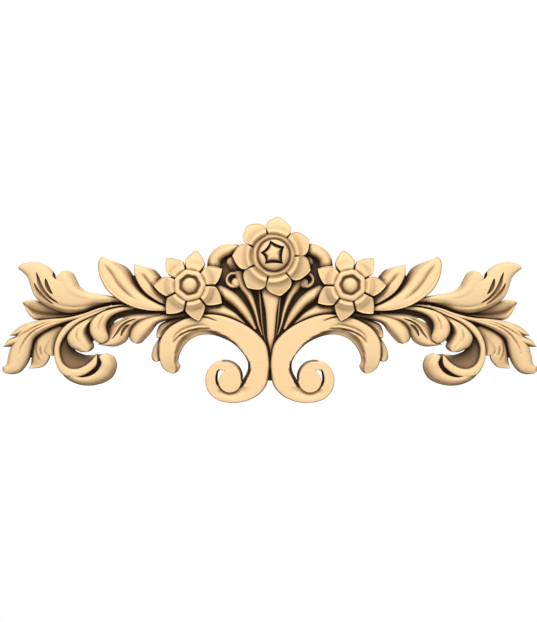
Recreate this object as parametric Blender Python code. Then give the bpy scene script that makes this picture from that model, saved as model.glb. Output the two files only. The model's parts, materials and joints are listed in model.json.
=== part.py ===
"""A carved wooden applique: two C-scrolls, acanthus sprays, upright leaves and three flowers, in one piece.

The ornament hangs flat on an upright surface. Its back is the plane Y = 0 and it is seen from -Y.
+X runs to the right and +Z up. The origin is on the back, on the middle line behind the stem.

Every leaf, stem and scroll is a loft. A station holds the leaf's two edges and the height of its crest
above the back, in millimetres: (first edge across, up, second edge across, up, height). Across is
counted outwards from the middle line, so that one list serves the left and the right side.
"""

import math

import bmesh
import bpy

MM = 0.001

# Driving sizes, in millimetres
WIDTH = 536.0
HEIGHT = 186.0
DEPTH = 30.0
SAW_ALLOWANCE = 3.0

PETALS = 7
SIDE_FLOWER_CENTRE = (79.7, 25.3)
SIDE_CUP_CENTRE = (79.7, 25.8)
SIDE_FLOWER_RADIUS = 36.3
SIDE_FLOWER_TURN_DEG = 102.3
SIDE_PETAL_LEANS_DEG = (-2.0, -1.5, 3.3, -1.2, 2.2, 1.4, -1.6)
CENTRE_FLOWER_CENTRE = (2.8, 54.6)
CENTRE_FLOWER_RADIUS = 40.2
CENTRE_FLOWER_TURN_DEG = 77.5
CENTRE_PETAL_LEANS_DEG = (4.9, 1.2, -1.4, -1.0, -2.4, 4.8, -0.6)
CENTRE_DISC_CENTRE = (4.0, 55.9)
STAR_CORNERS = (
    (0.2, 70.5), (7.4, 66.4), (14.5, 64.4), (12.1, 55.9), (12.9, 47.0), (4.1, 48.0), (-5.1, 47.0),
    (-4.9, 53.0), (-9.5, 58.4), (-3.1, 63.3),
)

VOLUTE_CENTRE = (39.95, -69.7)
VOLUTE_BUTTON_RADIUS = 11.4
VOLUTE_OUTER_RADII = (
    37.8, 32.4, 26.6, 23.1, 21.5, 21.8, 22.9, 23.9, 24.4, 24.6, 24.0, 22.5, 20.6, 18.3, 16.0, 14.0, 12.3,
)
VOLUTE_INNER_RADII = (
    11.9, 11.2, 10.8, 10.4, 10.4, 10.4, 10.8, 11.4, 12.2, 13.3, 14.8, 10.4, 7.0, 5.5, 4.5, 3.5, 3.0,
)

TENDRIL_CENTRE = (36.4, 31.0)
TENDRIL_BALL_CENTRE = (33.9, 29.0)
TENDRIL_STEPS = 11

WOOD_COLOUR = (0.80, 0.55, 0.30, 1.0)
WOOD_ROUGHNESS = 0.55

# Cross-sections: share of the way from the first edge to the second, and share of the crest height
DOMED = ((0.0, 0.48), (0.25, 0.95), (0.7, 0.96), (1.0, 0.48))
FLAT = ((0.0, 1.0), (1.0, 1.0))
ROLLED_DOWN = ((0.0, 0.68), (0.2, 1.0), (0.6, 0.92), (1.0, 0.42))
ROLLED_UP = ((0.0, 0.5), (0.3, 0.95), (0.7, 1.0), (1.0, 0.86))
MIDRIB = ((0.0, 0.84), (0.25, 0.97), (0.46, 0.82), (0.58, 0.93), (0.8, 0.55), (1.0, 0.14))
HANGING = ((0.0, 0.7), (0.3, 1.0), (0.62, 0.97), (0.85, 0.68), (1.0, 0.28))
CHANNEL = ((0.0, 1.0), (0.35, 0.85), (0.7, 0.45), (0.8, 0.85), (1.0, 0.8))
BEVELLED = ((0.0, 1.0), (0.76, 1.0), (0.86, 0.85), (1.0, 0.45))
CUPPED = ((0.0, 1.0), (0.5, 0.95), (1.0, 1.0))


def clear_scene():
    for obj in list(bpy.data.objects):
        bpy.data.objects.remove(obj, do_unlink=True)


def smooth_between(before, start, end, after, share):
    """A point of the Catmull-Rom curve from start to end, for each number of the stations."""
    values = []
    for p0, p1, p2, p3 in zip(before, start, end, after):
        tangent_in = (p2 - p0) / 2
        tangent_out = (p3 - p1) / 2
        s2, s3 = share**2, share**3
        values.append(
            p1 * (2 * s3 - 3 * s2 + 1)
            + tangent_in * (s3 - 2 * s2 + share)
            + p2 * (3 * s2 - 2 * s3)
            + tangent_out * (s3 - s2)
        )
    return tuple(values)


def resampled(stations, rows):
    """The stations read at an even spacing along one smooth curve through them."""
    last = len(stations) - 1
    found = []
    for row in range(rows + 1):
        place = last * row / rows
        index = min(int(place), last - 1)
        before = stations[max(index - 1, 0)]
        after = stations[min(index + 2, last)]
        found.append(
            smooth_between(before, stations[index], stations[index + 1], after, place - index)
        )
    return found


def closed_mesh(name, tops, collection):
    """A solid from rows of top points (x, height, z): its walls go straight back past the plane Y = 0."""
    mesh = bmesh.new()
    back = SAW_ALLOWANCE * MM
    upper = []
    for row in tops:
        upper.append([mesh.verts.new((x * MM, -height * MM, z * MM)) for x, height, z in row])
    lower = []
    for row in tops:
        ends = (row[0], row[-1]) if len(row) > 1 else (row[0],)
        lower.append([mesh.verts.new((x * MM, back, z * MM)) for x, _, z in ends])
    for near, far, low_near, low_far in zip(upper, upper[1:], lower, lower[1:]):
        strip(mesh, near, far)
        mesh.faces.new((near[0], far[0], low_far[0], low_near[0]))
        mesh.faces.new((near[-1], low_near[-1], low_far[-1], far[-1]))
        strip(mesh, low_near[::-1], low_far[::-1])
    for row, low in ((upper[0], lower[0]), (upper[-1], lower[-1])):
        if len(row) > 1:
            mesh.faces.new(row + low[::-1])
    bmesh.ops.recalc_face_normals(mesh, faces=mesh.faces)
    return link_mesh(name, mesh, collection)


def strip(mesh, near, far):
    """Faces between two rows of vertices, either of which may be a single point."""
    if len(near) == 1 or len(far) == 1:
        point, row = (near[0], far) if len(near) == 1 else (far[0], near)
        for first, second in zip(row, row[1:]):
            mesh.faces.new((point, first, second))
        return
    for column in range(len(near) - 1):
        mesh.faces.new((near[column], near[column + 1], far[column + 1], far[column]))


def link_mesh(name, mesh, collection):
    data = bpy.data.meshes.new(name)
    mesh.to_mesh(data)
    mesh.free()
    obj = bpy.data.objects.new(name, data)
    collection.objects.link(obj)
    return obj


def loft(name, side, section, stations, rows, collection):
    """A leaf through its stations, on the left for side -1 or the right for side 1."""
    tops = []
    for au, az, bu, bz, height in resampled(stations, rows):
        if math.dist((au, az), (bu, bz)) < 0.05:
            tops.append([(side * au, height, az)])
            continue
        tops.append(
            [
                (side * (au + (bu - au) * across), height * share, az + (bz - az) * across)
                for across, share in section
            ]
        )
    return closed_mesh(name, tops, collection)


def turned(name, centre, side, profile, segments, lobes, lobe_share, collection):
    """A round form from a profile of (radius, height), its radius swelling lobes times round the turn."""
    mesh = bmesh.new()
    rings = []
    for radius, height in profile:
        ring = []
        for index in range(segments):
            turn = math.tau * index / segments
            swell = 1 + lobe_share * math.cos(lobes * turn)
            x = side * (centre[0] + radius * swell * math.cos(turn))
            z = centre[1] + radius * swell * math.sin(turn)
            ring.append(mesh.verts.new((x * MM, -height * MM, z * MM)))
        rings.append(ring)
    for inner, outer in zip(rings, rings[1:]):
        for index in range(segments):
            following = (index + 1) % segments
            mesh.faces.new((inner[index], inner[following], outer[following], outer[index]))
    mesh.faces.new(rings[0])
    mesh.faces.new(rings[-1])
    bmesh.ops.recalc_face_normals(mesh, faces=mesh.faces)
    return link_mesh(name, mesh, collection)


def scroll_stations():
    """The C-scroll's arm from its leafy end, then its volute by the radii at each sixteenth of a turn."""
    arm = [
        (95.9, -62.4, 95.9, -62.4, 12),
        (100, -61.5, 92.4, -60.2, 12.8),
        (104.3, -59.1, 90.3, -57, 13.6),
        (107.6, -55.6, 89.9, -54, 14.6),
        (109.7, -50, 91.8, -49.6, 15.6),
        (110.8, -43, 89.9, -41.8, 16.5),
        (109.8, -30, 85.4, -33.9, 17.0),
        (102, -17.8, 78.9, -27.8, 17.2),
        (89, -9.5, 70.9, -24.2, 17.3),
        (75, -5, 63, -23.2, 17.5),
        (61, -3, 55.1, -24.2, 18.2),
        (47.5, -4.6, 46.8, -27.0, 19.3),
        (34.5, -9, 38.5, -31.1, 20),
        (22.5, -15.2, 31, -37.4, 20),
        (11.5, -23.9, 25.7, -44.1, 20),
        (3.4, -34.5, 22.6, -49.8, 20),
        (0.6, -50, 21.9, -56, 20),
        (0.9, -60, 23.6, -62.2, 20),
    ]
    volute = []
    for step, (r_out, r_in) in enumerate(zip(VOLUTE_OUTER_RADII, VOLUTE_INNER_RADII)):
        angle = math.pi + math.tau * step / (len(VOLUTE_OUTER_RADII) - 1)
        cu, cz = VOLUTE_CENTRE
        volute.append(
            (
                cu + r_out * math.cos(angle),
                cz + r_out * math.sin(angle),
                cu + r_in * math.cos(angle),
                cz + r_in * math.sin(angle),
                20.0,
            )
        )
    return arm + volute


def scrolls(side, collection):
    loft("scroll", side, BEVELLED, scroll_stations(), 38, collection)
    button = ((VOLUTE_BUTTON_RADIUS, -SAW_ALLOWANCE), (VOLUTE_BUTTON_RADIUS, 20.5), (11.0, 21.0))
    turned("volute_button", VOLUTE_CENTRE, side, button, 16, 0, 0, collection)


def acanthus_spray(side, collection):
    """The outer spray: a two-lobed crown leaf, a trailing leaf, the hooked scroll and the hanging lobes."""
    loft("crown_leaf", side, ROLLED_DOWN, [
        (142, 11, 140, 7, 12.5), (158, 15, 158, 7.7, 13.5), (172.9, 17.1, 173, 4, 14.5),
        (185.7, 19.1, 186, -0.3, 15), (198, 23, 201, -2.2, 15.5), (208, 26.5, 216, 1, 15.5),
        (215, 31, 228, 7, 15), (215.7, 38.3, 235.6, 15.9, 14.5), (222.7, 44.9, 239.6, 26.2, 14),
        (232, 49.1, 242.4, 34, 13), (242.9, 48.8, 247.8, 39.7, 11.5), (249.6, 46.5, 251, 42, 10.5),
        (251.9, 43.8, 251.9, 43.8, 10),
    ], 15, collection)
    loft("crown_leaf_lobe", side, ROLLED_UP, [
        (152, 14, 160, 9, 12.5), (169.8, 17.2, 175, 8, 14), (182.5, 19.8, 192, 11, 15.3),
        (189.9, 24.7, 204, 17, 15.8), (193.5, 31.2, 211.5, 25, 15.6), (196.7, 37.1, 214, 32.5, 15),
        (200.3, 40.2, 209.8, 38.2, 14), (204.9, 41, 204.9, 41, 13),
    ], 9, collection)
    loft("pointed_leaf", side, CHANNEL, [
        (180, 2, 180, -2, 6), (210, 2, 210, -6.5, 7), (225, 6.5, 226, -8.5, 8),
        (235, 11, 236, -8, 8.5), (242, 11.3, 242.3, -1.4, 8.5), (247.7, 8.8, 247.7, 8.8, 8),
    ], 7, collection)
    loft("trailing_leaf", side, ROLLED_DOWN, [
        (152, 7, 152, 5, 12), (170, 3.5, 170, 0, 12.5), (186, -2, 184, -6, 13),
        (202, -6, 200, -10, 13), (220, -7.5, 214, -15, 13.5), (234, -9.5, 226, -21, 14),
        (246.7, -14.1, 235, -28, 14), (254, -25, 238, -38, 13.5), (259, -35, 240.4, -47.2, 13),
        (261.8, -44, 243.9, -54.1, 12.5), (263.5, -52.7, 248.9, -60.1, 12), (267.8, -56.4, 255, -63, 11.2),
        (267.2, -60.2, 261.6, -62.9, 10.3), (265, -61.9, 265, -61.9, 9.8),
    ], 15, collection)
    loft("trailing_leaf_first_lobe", side, DOMED, [
        (234, -9.5, 240, -19, 13), (246.4, -13.1, 248, -22.5, 12.5), (254.5, -18.3, 253, -24.5, 12),
        (260.7, -24.2, 260.7, -24.2, 10),
    ], 4, collection)
    loft("trailing_leaf_second_lobe", side, DOMED, [
        (246, -20, 244, -32, 13), (256, -25.5, 255, -34, 12.5), (262.5, -28.9, 260.9, -35.6, 11.5),
        (267, -35.5, 267, -35.5, 10),
    ], 4, collection)
    loft("under_leaf", side, DOMED, [
        (212, -14, 206, -19, 8), (224, -20.5, 216, -27, 9), (232, -28, 222, -34, 9.8),
        (235.5, -38, 224.5, -41, 10), (237, -47, 220.5, -46.1, 9.8), (238.9, -52.9, 227.7, -55.6, 8.5),
        (241.4, -57.4, 241.4, -57.4, 7),
    ], 6, collection)
    loft("under_leaf_lobe", side, DOMED, [
        (214, -17, 202, -15, 8), (223, -27, 210, -27, 9), (226, -37, 213, -37, 9.5),
        (224, -43, 214, -43.5, 9.5), (219, -44.5, 219, -44.5, 8.5),
    ], 5, collection)
    loft("hook_rim", side, FLAT, [
        (158, 6.5, 158, 4, 11), (178, -1.5, 174, -3.5, 12), (194, -8, 190, -11, 13),
        (205, -15, 199.5, -19, 13), (212, -25, 206.5, -28, 13), (215.5, -37, 209.7, -38, 13),
        (214.5, -50.2, 207.5, -50, 13), (207.7, -62.7, 201, -56.5, 13), (196, -66, 193, -57.3, 13),
        (186, -64, 186, -54.8, 13), (178, -59, 180, -50.5, 12.5), (173, -53, 176, -46, 12),
        (172.7, -42.5, 172.7, -42.5, 11),
    ], 15, collection)
    loft("hook_roll", side, DOMED, [
        (212.5, -55.4, 204, -59, 11.5), (204.8, -66.4, 198, -62, 12), (193.3, -72.8, 190, -65.8, 12),
        (180, -74.5, 181.5, -65, 12), (166.9, -71.8, 174.5, -61.5, 12.5), (157.6, -65.8, 170, -56, 13),
        (153.3, -55, 168.5, -51, 14), (156.3, -45.4, 170.5, -45, 14.5), (164, -41.8, 164, -41.8, 14),
    ], 10, collection)
    loft("hook_hollow", side, FLAT, [
        (204, -17, 192, -17, 4.5), (209, -29, 196, -33, 4.5), (211, -41, 195, -39, 4.5),
        (208, -53, 190, -42, 5), (198, -60, 184, -44.5, 5), (184, -57, 178, -45, 5),
        (172, -44, 172, -44, 5),
    ], 6, collection)
    loft("hanging_leaf_outer", side, HANGING, [
        (170, 0, 167, -2, 9), (182, -7, 175, -8, 11), (193, -13, 180, -14, 13),
        (200.5, -20.5, 182, -21, 14), (202.7, -28, 180, -26, 14.5), (199.5, -35, 177.3, -31.1, 14.5),
        (193.5, -38.8, 176.2, -34.6, 14), (187, -41, 178.2, -38.6, 13.2), (181.9, -40.7, 181.9, -40.7, 12.4),
    ], 8, collection)
    loft("hanging_leaf_inner", side, ROLLED_DOWN, [
        (135, 6, 135, 2, 10), (148, 4.5, 148, -0.5, 12), (162, 1.5, 157, -4.5, 13.5),
        (172, -3, 162, -9.5, 14.5), (178.5, -10, 163.7, -15, 15), (180.2, -18, 162.7, -20.5, 15),
        (178, -25, 161.2, -25, 15), (173.4, -30.7, 161.5, -29, 14), (167, -32, 167, -32, 13),
    ], 9, collection)
    loft("hanging_lobe_outer", side, DOMED, [
        (110, 0, 110, -5, 8), (125, -1, 122, -8, 9.5), (140, -3, 132, -11, 11),
        (151, -7.5, 139, -18, 12), (158, -13.5, 141, -25, 12), (162, -20, 145.5, -31.3, 11.5),
        (167, -27, 156, -35.3, 11), (172.3, -33.3, 172.3, -33.3, 10),
    ], 8, collection)
    loft("hanging_lobe_inner", side, DOMED, [
        (76, -1, 76, -6, 5), (88, -1, 88, -7, 8), (105, -2, 102, -9, 9.5), (120, -4.5, 112, -12.5, 11),
        (131, -9, 117.6, -19.4, 11.7), (138.5, -16.5, 122.2, -25, 11.7), (141, -24, 126.3, -29.1, 11),
        (139.2, -29.2, 129.9, -31.2, 10), (134, -32, 134, -32, 9.5),
    ], 8, collection)
    loft("tuck_leaf_upper", side, DOMED, [
        (80, -3, 80, -10, 7), (97, -7.2, 90, -15, 8), (109.5, -12.5, 100, -21, 8.5),
        (113.5, -20.6, 105, -27, 8.5), (113.5, -26.8, 113.5, -26.8, 8),
    ], 5, collection)
    loft("tuck_leaf_lower", side, DOMED, [
        (109, -24, 102, -29, 7), (115.8, -34.3, 106, -36, 8), (118.5, -42.1, 108, -44, 8.5),
        (117.9, -48.4, 109, -49, 8.5), (114, -50.7, 114, -50.7, 8),
    ], 5, collection)


def upright_leaves(side, collection):
    loft("upright_leaf_outer", side, MIDRIB, [
        (90, 2, 90, 7, 14), (107, 0.5, 105, 6, 15), (123, 1, 117, 11.5, 16),
        (138, 4.5, 127, 19.5, 17), (152, 12, 133.5, 29, 17), (162.7, 21.3, 138, 37.5, 17),
        (169.2, 32.8, 143.3, 44, 16.5), (171.4, 43, 153.8, 49.3, 16), (171.1, 50.5, 161.3, 52.1, 15),
        (167.6, 54.4, 167.6, 54.4, 14.5),
    ], 11, collection)
    loft("upright_leaf_inner", side, MIDRIB, [
        (90, 5, 88, 17, 13), (104, 6.2, 96, 21, 14), (117, 12.8, 103, 28, 16),
        (125.3, 19.5, 108.2, 33.8, 18), (131.7, 28.5, 115, 41.2, 17.5), (135.2, 37.5, 124.6, 44.6, 17),
        (135, 47, 135, 47, 15.5),
    ], 8, collection)


def bouquet_stems(side, collection):
    """The stems that fan from the foot of the bouquet, with the little tendril and the curl above."""
    loft("strap_stem", side, DOMED, [
        (60, 17, 58, 28.5, 14), (52, 14.5, 48, 26, 15.5), (45, 10.5, 37.5, 20.3, 16.5),
        (37.5, 5.5, 28.7, 12.3, 16.5), (30.5, -1.8, 20.8, 2.3, 16), (23, -10.5, 16.3, -6.8, 14.5),
        (16, -18.5, 12.8, -17, 12),
    ], 7, collection)
    loft("wedge_leaf", side, DOMED, [
        (72, -4, 66, 12, 13), (60, -4.5, 49, 7.4, 14.5), (47, -6, 40, 2.6, 15), (36, -9.5, 32, -3, 14.5),
        (24, -12.5, 24, -12.5, 13),
    ], 5, collection)
    loft("tendril_stalk", side, DOMED, [
        (37, 40, 24, 40, 11), (34, 29, 19.5, 26, 13), (29.5, 21.5, 17.2, 19, 13.8), (23.6, 14, 15.2, 13, 14),
        (16.8, 0, 12, 0, 13.8), (12.7, -14, 9.3, -14, 12), (8.6, -24, 6.6, -24, 10),
    ], 6, collection)
    ring = []
    for step in range(TENDRIL_STEPS + 1):
        turn = math.radians(215 - 365 * step / TENDRIL_STEPS)
        ring.append(
            (
                TENDRIL_CENTRE[0] + 8.4 * math.cos(turn),
                TENDRIL_CENTRE[1] + 8.4 * math.sin(turn),
                TENDRIL_CENTRE[0] + 4.9 * math.cos(turn),
                TENDRIL_CENTRE[1] + 4.9 * math.sin(turn),
                12.8,
            )
        )
    loft("tendril_ring", side, DOMED, ring, TENDRIL_STEPS, collection)
    ball = ((4.8, -SAW_ALLOWANCE), (4.8, 11.5), (3.9, 14.2), (1.8, 15.4))
    turned("tendril_ball", TENDRIL_BALL_CENTRE, side, ball, 10, 0, 0, collection)
    loft("top_curl", side, DOMED, [
        (63, 45, 49, 43, 12), (61.8, 52.6, 48, 50, 13), (57, 60.4, 44, 53.5, 14),
        (48.3, 66.2, 39, 55.5, 14.5), (38, 67.6, 32, 57, 14.5), (25, 65, 22, 55, 14),
    ], 7, collection)
    loft("top_curl_bead", side, DOMED, [
        (43.4, 49, 43, 46, 8), (42, 53, 40, 42, 9.6), (37, 55.5, 35, 40, 10.2),
        (25, 56, 24, 39, 10.2),
    ], 4, collection)


def ground(collection):
    """The sunk ground between the bouquet's stems, and the thin webs that tie the leaves together."""
    loft("bouquet_ground", 1, FLAT, [
        (-56, 50, 56, 50, 4), (-66, 40, 66, 40, 4), (-76, 20, 76, 20, 4), (-88, 2, 88, 2, 4),
        (-82, -8, 82, -8, 4), (-40, -18, 40, -18, 4), (-14, -34, 14, -34, 4), (-5, -62, 5, -62, 4),
        (-2.4, -69.5, 2.4, -69.5, 4),
    ], 9, collection)
    for side in (-1, 1):
        loft("stem_ground", side, FLAT, [
            (75, 12, 75, -8, 4), (105, 8, 100, -7, 4), (135, 8, 128, -8, 4), (150, 11, 148, -4, 4),
            (172, 9, 168, -10, 4), (190, 4, 180, -20, 4), (212, 0, 200, -30, 4),
            (230, -6, 218, -24, 4),
        ], 10, collection)
        loft("upright_leaf_ground", side, FLAT, [
            (100, 0, 93, 12, 4), (118, 4, 103, 19, 4), (131, 12, 109, 28, 4), (138, 21, 117, 35, 4),
            (142, 29, 126, 37, 4), (143, 33, 132, 38, 4),
        ], 5, collection)
        loft("hanging_ground", side, FLAT, [
            (160, 2, 164, -4, 3), (166, -8, 180, -8, 3), (168, -14, 190, -16, 3),
            (172, -24, 196, -28, 3), (178, -31, 190, -34, 3),
        ], 5, collection)
        loft("lobe_ground", side, FLAT, [
            (164, -24, 160, -24, 3), (165, -14, 156, -16, 3), (160, -5, 149, -12, 3),
            (148, -1, 140, -8, 3),
        ], 4, collection)
        loft("under_leaf_ground", side, FLAT, [
            (200, -8, 198, -16, 3), (216, -13, 212, -22, 3), (228, -20, 223, -27, 3),
            (236, -28, 229, -32, 3), (240, -38, 233, -40, 3), (240.5, -46, 236, -48, 3),
        ], 5, collection)
        loft("hook_slot_ground", side, FLAT, [
            (175, -43, 167, -43, 3), (176, -50, 165, -51, 3), (178, -57, 167, -60, 3),
            (184, -61, 177, -68, 3), (193, -63, 189, -70, 3),
        ], 4, collection)
        loft("curl_ground", side, FLAT, [
            (51, 45, 46, 57, 4), (40, 45, 36, 59, 4), (28, 46, 26, 59, 4),
        ], 2, collection)


def petal(name, centre, side, body_deg, tip_deg, radius, half_width, stations, collection):
    """A petal along a ray from the flower's centre, with its tip turned to a ray of its own.

    A station is its reach as a share of the radius, its breadth as a share of the half width, and a height.
    """
    tops = []
    for reach, breadth, height in stations:
        turn = math.radians(body_deg if breadth else tip_deg)
        along = (math.cos(turn), math.sin(turn))
        cu = centre[0] + along[0] * radius * reach
        cz = centre[1] + along[1] * radius * reach
        half = half_width * breadth
        if half == 0:
            tops.append([(side * cu, height, cz)])
            continue
        tops.append(
            [
                (
                    side * (cu - along[1] * half * (2 * across - 1)),
                    height * share,
                    cz + along[0] * half * (2 * across - 1),
                )
                for across, share in CUPPED
            ]
        )
    closed_mesh(name, tops, collection)


def flower(name, centre, side, turn_deg, leans_deg, radius, half_width, stations, collection):
    for index, lean in enumerate(leans_deg):
        body = turn_deg + 360 * index / PETALS
        lift = 0.2 * (index % 3)
        raised = [(reach, breadth, height + lift) for reach, breadth, height in stations]
        petal(f"{name}_petal", centre, side, body, body + lean, radius, half_width, raised, collection)


def side_flower(side, collection):
    petals = (
        (0.38, 0.62, 24.0), (0.5, 0.83, 26.2), (0.61, 0.99, 23.2), (0.73, 0.89, 22.1), (0.87, 0.52, 20.8),
        (1.0, 0.0, 19.4),
    )
    flower(
        "side_flower", SIDE_FLOWER_CENTRE, side, SIDE_FLOWER_TURN_DEG, SIDE_PETAL_LEANS_DEG,
        SIDE_FLOWER_RADIUS, 9.8, petals, collection,
    )
    cup = (
        (21.0, -SAW_ALLOWANCE), (21.0, 8.0), (15.8, 8.0), (15.8, 23.8), (14.2, 26.8), (11.2, 27.0),
        (9.0, 23.0), (7.4, 24.8), (4.0, 28.2),
    )
    turned("side_flower_cup", SIDE_CUP_CENTRE, side, cup, 14, PETALS, 0.045, collection)


def centre_flower(collection):
    petals = (
        (0.45, 0.63, 22.4), (0.6, 0.87, 26.5), (0.71, 1.0, 23.4), (0.8, 0.92, 22.2), (0.91, 0.54, 21.0),
        (1.0, 0.0, 19.8),
    )
    flower(
        "centre_flower", CENTRE_FLOWER_CENTRE, 1, CENTRE_FLOWER_TURN_DEG, CENTRE_PETAL_LEANS_DEG,
        CENTRE_FLOWER_RADIUS, 12.8, petals, collection,
    )
    cup = (
        (27.5, -SAW_ALLOWANCE), (27.5, 8.0), (21.6, 8.0), (21.6, 22.4), (19.6, 24.8), (17.6, 24.9),
        (16.4, 23.2), (13.8, 27.4), (9.0, DEPTH),
    )
    turned("centre_flower_cup", CENTRE_DISC_CENTRE, 1, cup, 20, 0, 0, collection)


def star(name, low, high, floor_share, collection):
    """The five-pointed star sunk in the disc: a prism on its ten corners, drawn in towards its floor."""
    mesh = bmesh.new()
    mid_u = sum(u for u, _ in STAR_CORNERS) / len(STAR_CORNERS)
    mid_z = sum(z for _, z in STAR_CORNERS) / len(STAR_CORNERS)
    rings = []
    for height, share in ((low, floor_share), (high, 1.0)):
        ring = []
        for u, z in STAR_CORNERS:
            x = mid_u + (u - mid_u) * share
            up = mid_z + (z - mid_z) * share
            ring.append(mesh.verts.new((x * MM, -height * MM, up * MM)))
        rings.append(ring)
    for index in range(len(STAR_CORNERS)):
        following = (index + 1) % len(STAR_CORNERS)
        mesh.faces.new((rings[0][index], rings[0][following], rings[1][following], rings[1][index]))
    mesh.faces.new(rings[0])
    mesh.faces.new(rings[1])
    bmesh.ops.recalc_face_normals(mesh, faces=mesh.faces)
    return link_mesh(name, mesh, collection)


def gouge(name, side, points, width, floor, collection):
    """A gouge cut: a slim blade along its points, widest in the middle, open towards the front."""
    rows = []
    last = len(points) - 1
    for index, (u, z) in enumerate(points):
        before = points[max(index - 1, 0)]
        after = points[min(index + 1, last)]
        du, dz = after[0] - before[0], after[1] - before[1]
        length = math.hypot(du, dz)
        half = width / 2 * math.sin(math.pi * index / last)
        nu, nz = -dz / length * half, du / length * half
        edges = ((side * (u + nu), z + nz), (side * (u - nu), z - nz))
        rows.append(edges if half > 0.01 else ((side * u, z),))
    mesh = bmesh.new()
    upper = [[mesh.verts.new((x * MM, -DEPTH * MM, z * MM)) for x, z in row] for row in rows]
    lower = [[mesh.verts.new((x * MM, -floor * MM, z * MM)) for x, z in row] for row in rows]
    for near, far, low_near, low_far in zip(upper, upper[1:], lower, lower[1:]):
        strip(mesh, near, far)
        strip(mesh, low_near[::-1], low_far[::-1])
        mesh.faces.new(unique((near[0], far[0], low_far[0], low_near[0])))
        mesh.faces.new(unique((near[-1], low_near[-1], low_far[-1], far[-1])))
    bmesh.ops.recalc_face_normals(mesh, faces=mesh.faces)
    return link_mesh(name, mesh, collection)


def unique(verts):
    return tuple(dict.fromkeys(verts))


def gouges(side, collection):
    """The slots in the crown leaf and in the hanging lobe."""
    cuts = (
        ("crown_gouge_long", [(233.5, 39), (230, 29), (224.5, 19), (218, 12.5), (210.5, 8)], 3.2, 9.0),
        ("crown_gouge_short", [(224, 33), (222, 26), (219, 21), (216.5, 17)], 3.4, 9.0),
        ("crown_gouge_low", [(235.8, 28), (231, 19.5), (225, 13), (218, 8.5)], 2.6, 9.0),
        ("lobe_gouge_low", [(158, -27.5), (152.5, -20), (148.5, -14), (143, -10)], 2.8, 7.0),
        ("lobe_gouge_high", [(157.5, -20), (152, -13.5), (146.5, -9.5), (139, -6.5)], 2.6, 7.0),
        ("lobe_gouge_short", [(149, -24.5), (147, -19.5), (143.5, -15), (140.5, -13)], 2.8, 7.0),
        ("lobe_slit", [(156.5, -11.5), (152, -8.7), (147, -6.8)], 1.6, -SAW_ALLOWANCE - 1),
    )
    for name, points, width, floor in cuts:
        gouge(name, side, points, width, floor, collection)


def back_block(collection):
    """The block planed away behind the ornament, which leaves its back flat."""
    mesh = bmesh.new()
    bmesh.ops.create_cube(mesh, size=1)
    margin = 20
    for vert in mesh.verts:
        vert.co.x *= (WIDTH + margin) * MM
        vert.co.z *= (HEIGHT + margin) * MM
        vert.co.y = (0.0 if vert.co.y < 0 else SAW_ALLOWANCE + margin) * MM
    return link_mesh("back_block", mesh, collection)


def helper_collection(name):
    collection = bpy.data.collections.new(name)
    bpy.context.scene.collection.children.link(collection)
    return collection


def wood():
    material = bpy.data.materials.new("carved_wood")
    material.use_nodes = True
    shader = material.node_tree.nodes["Principled BSDF"]
    shader.inputs["Base Color"].default_value = WOOD_COLOUR
    shader.inputs["Roughness"].default_value = WOOD_ROUGHNESS
    shader.inputs["Metallic"].default_value = 0.0
    return material


def boolean(obj, name, operation, collection):
    modifier = obj.modifiers.new(name, "BOOLEAN")
    modifier.operation = operation
    modifier.operand_type = "COLLECTION"
    modifier.collection = collection
    modifier.solver = "EXACT"


def main():
    clear_scene()
    raised = helper_collection("raised_forms")
    sunk = helper_collection("sunk_cuts")
    ground(raised)
    for side in (-1, 1):
        scrolls(side, raised)
        acanthus_spray(side, raised)
        upright_leaves(side, raised)
        bouquet_stems(side, raised)
        side_flower(side, raised)
        gouges(side, sunk)
    loft("centre_stem", 1, DOMED, [
        (-10, 30, 11.5, 30, 18), (-7.5, 16, 9.7, 16, 18), (-4.4, 0, 6.9, 0, 17.5),
        (-3.2, -16, 5.3, -16, 17), (-2.4, -29, 4.1, -29, 15.5), (0.8, -44, 0.8, -44, 12),
    ], 6, raised)
    centre_flower(raised)
    star("star_recess", 26.5, DEPTH + 2, 0.88, sunk)
    back_block(sunk)

    base = next(obj for obj in raised.objects if obj.name == "bouquet_ground")
    raised.objects.unlink(base)
    bpy.context.scene.collection.objects.link(base)
    base.name = base.data.name = "floral_applique"
    base.data.materials.append(wood())
    boolean(base, "raised_forms", "UNION", raised)
    boolean(base, "sunk_cuts", "DIFFERENCE", sunk)
    for obj in list(raised.objects) + list(sunk.objects):
        obj.hide_render = True
        obj.display_type = "WIRE"


main()
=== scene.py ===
import json
import math

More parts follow.
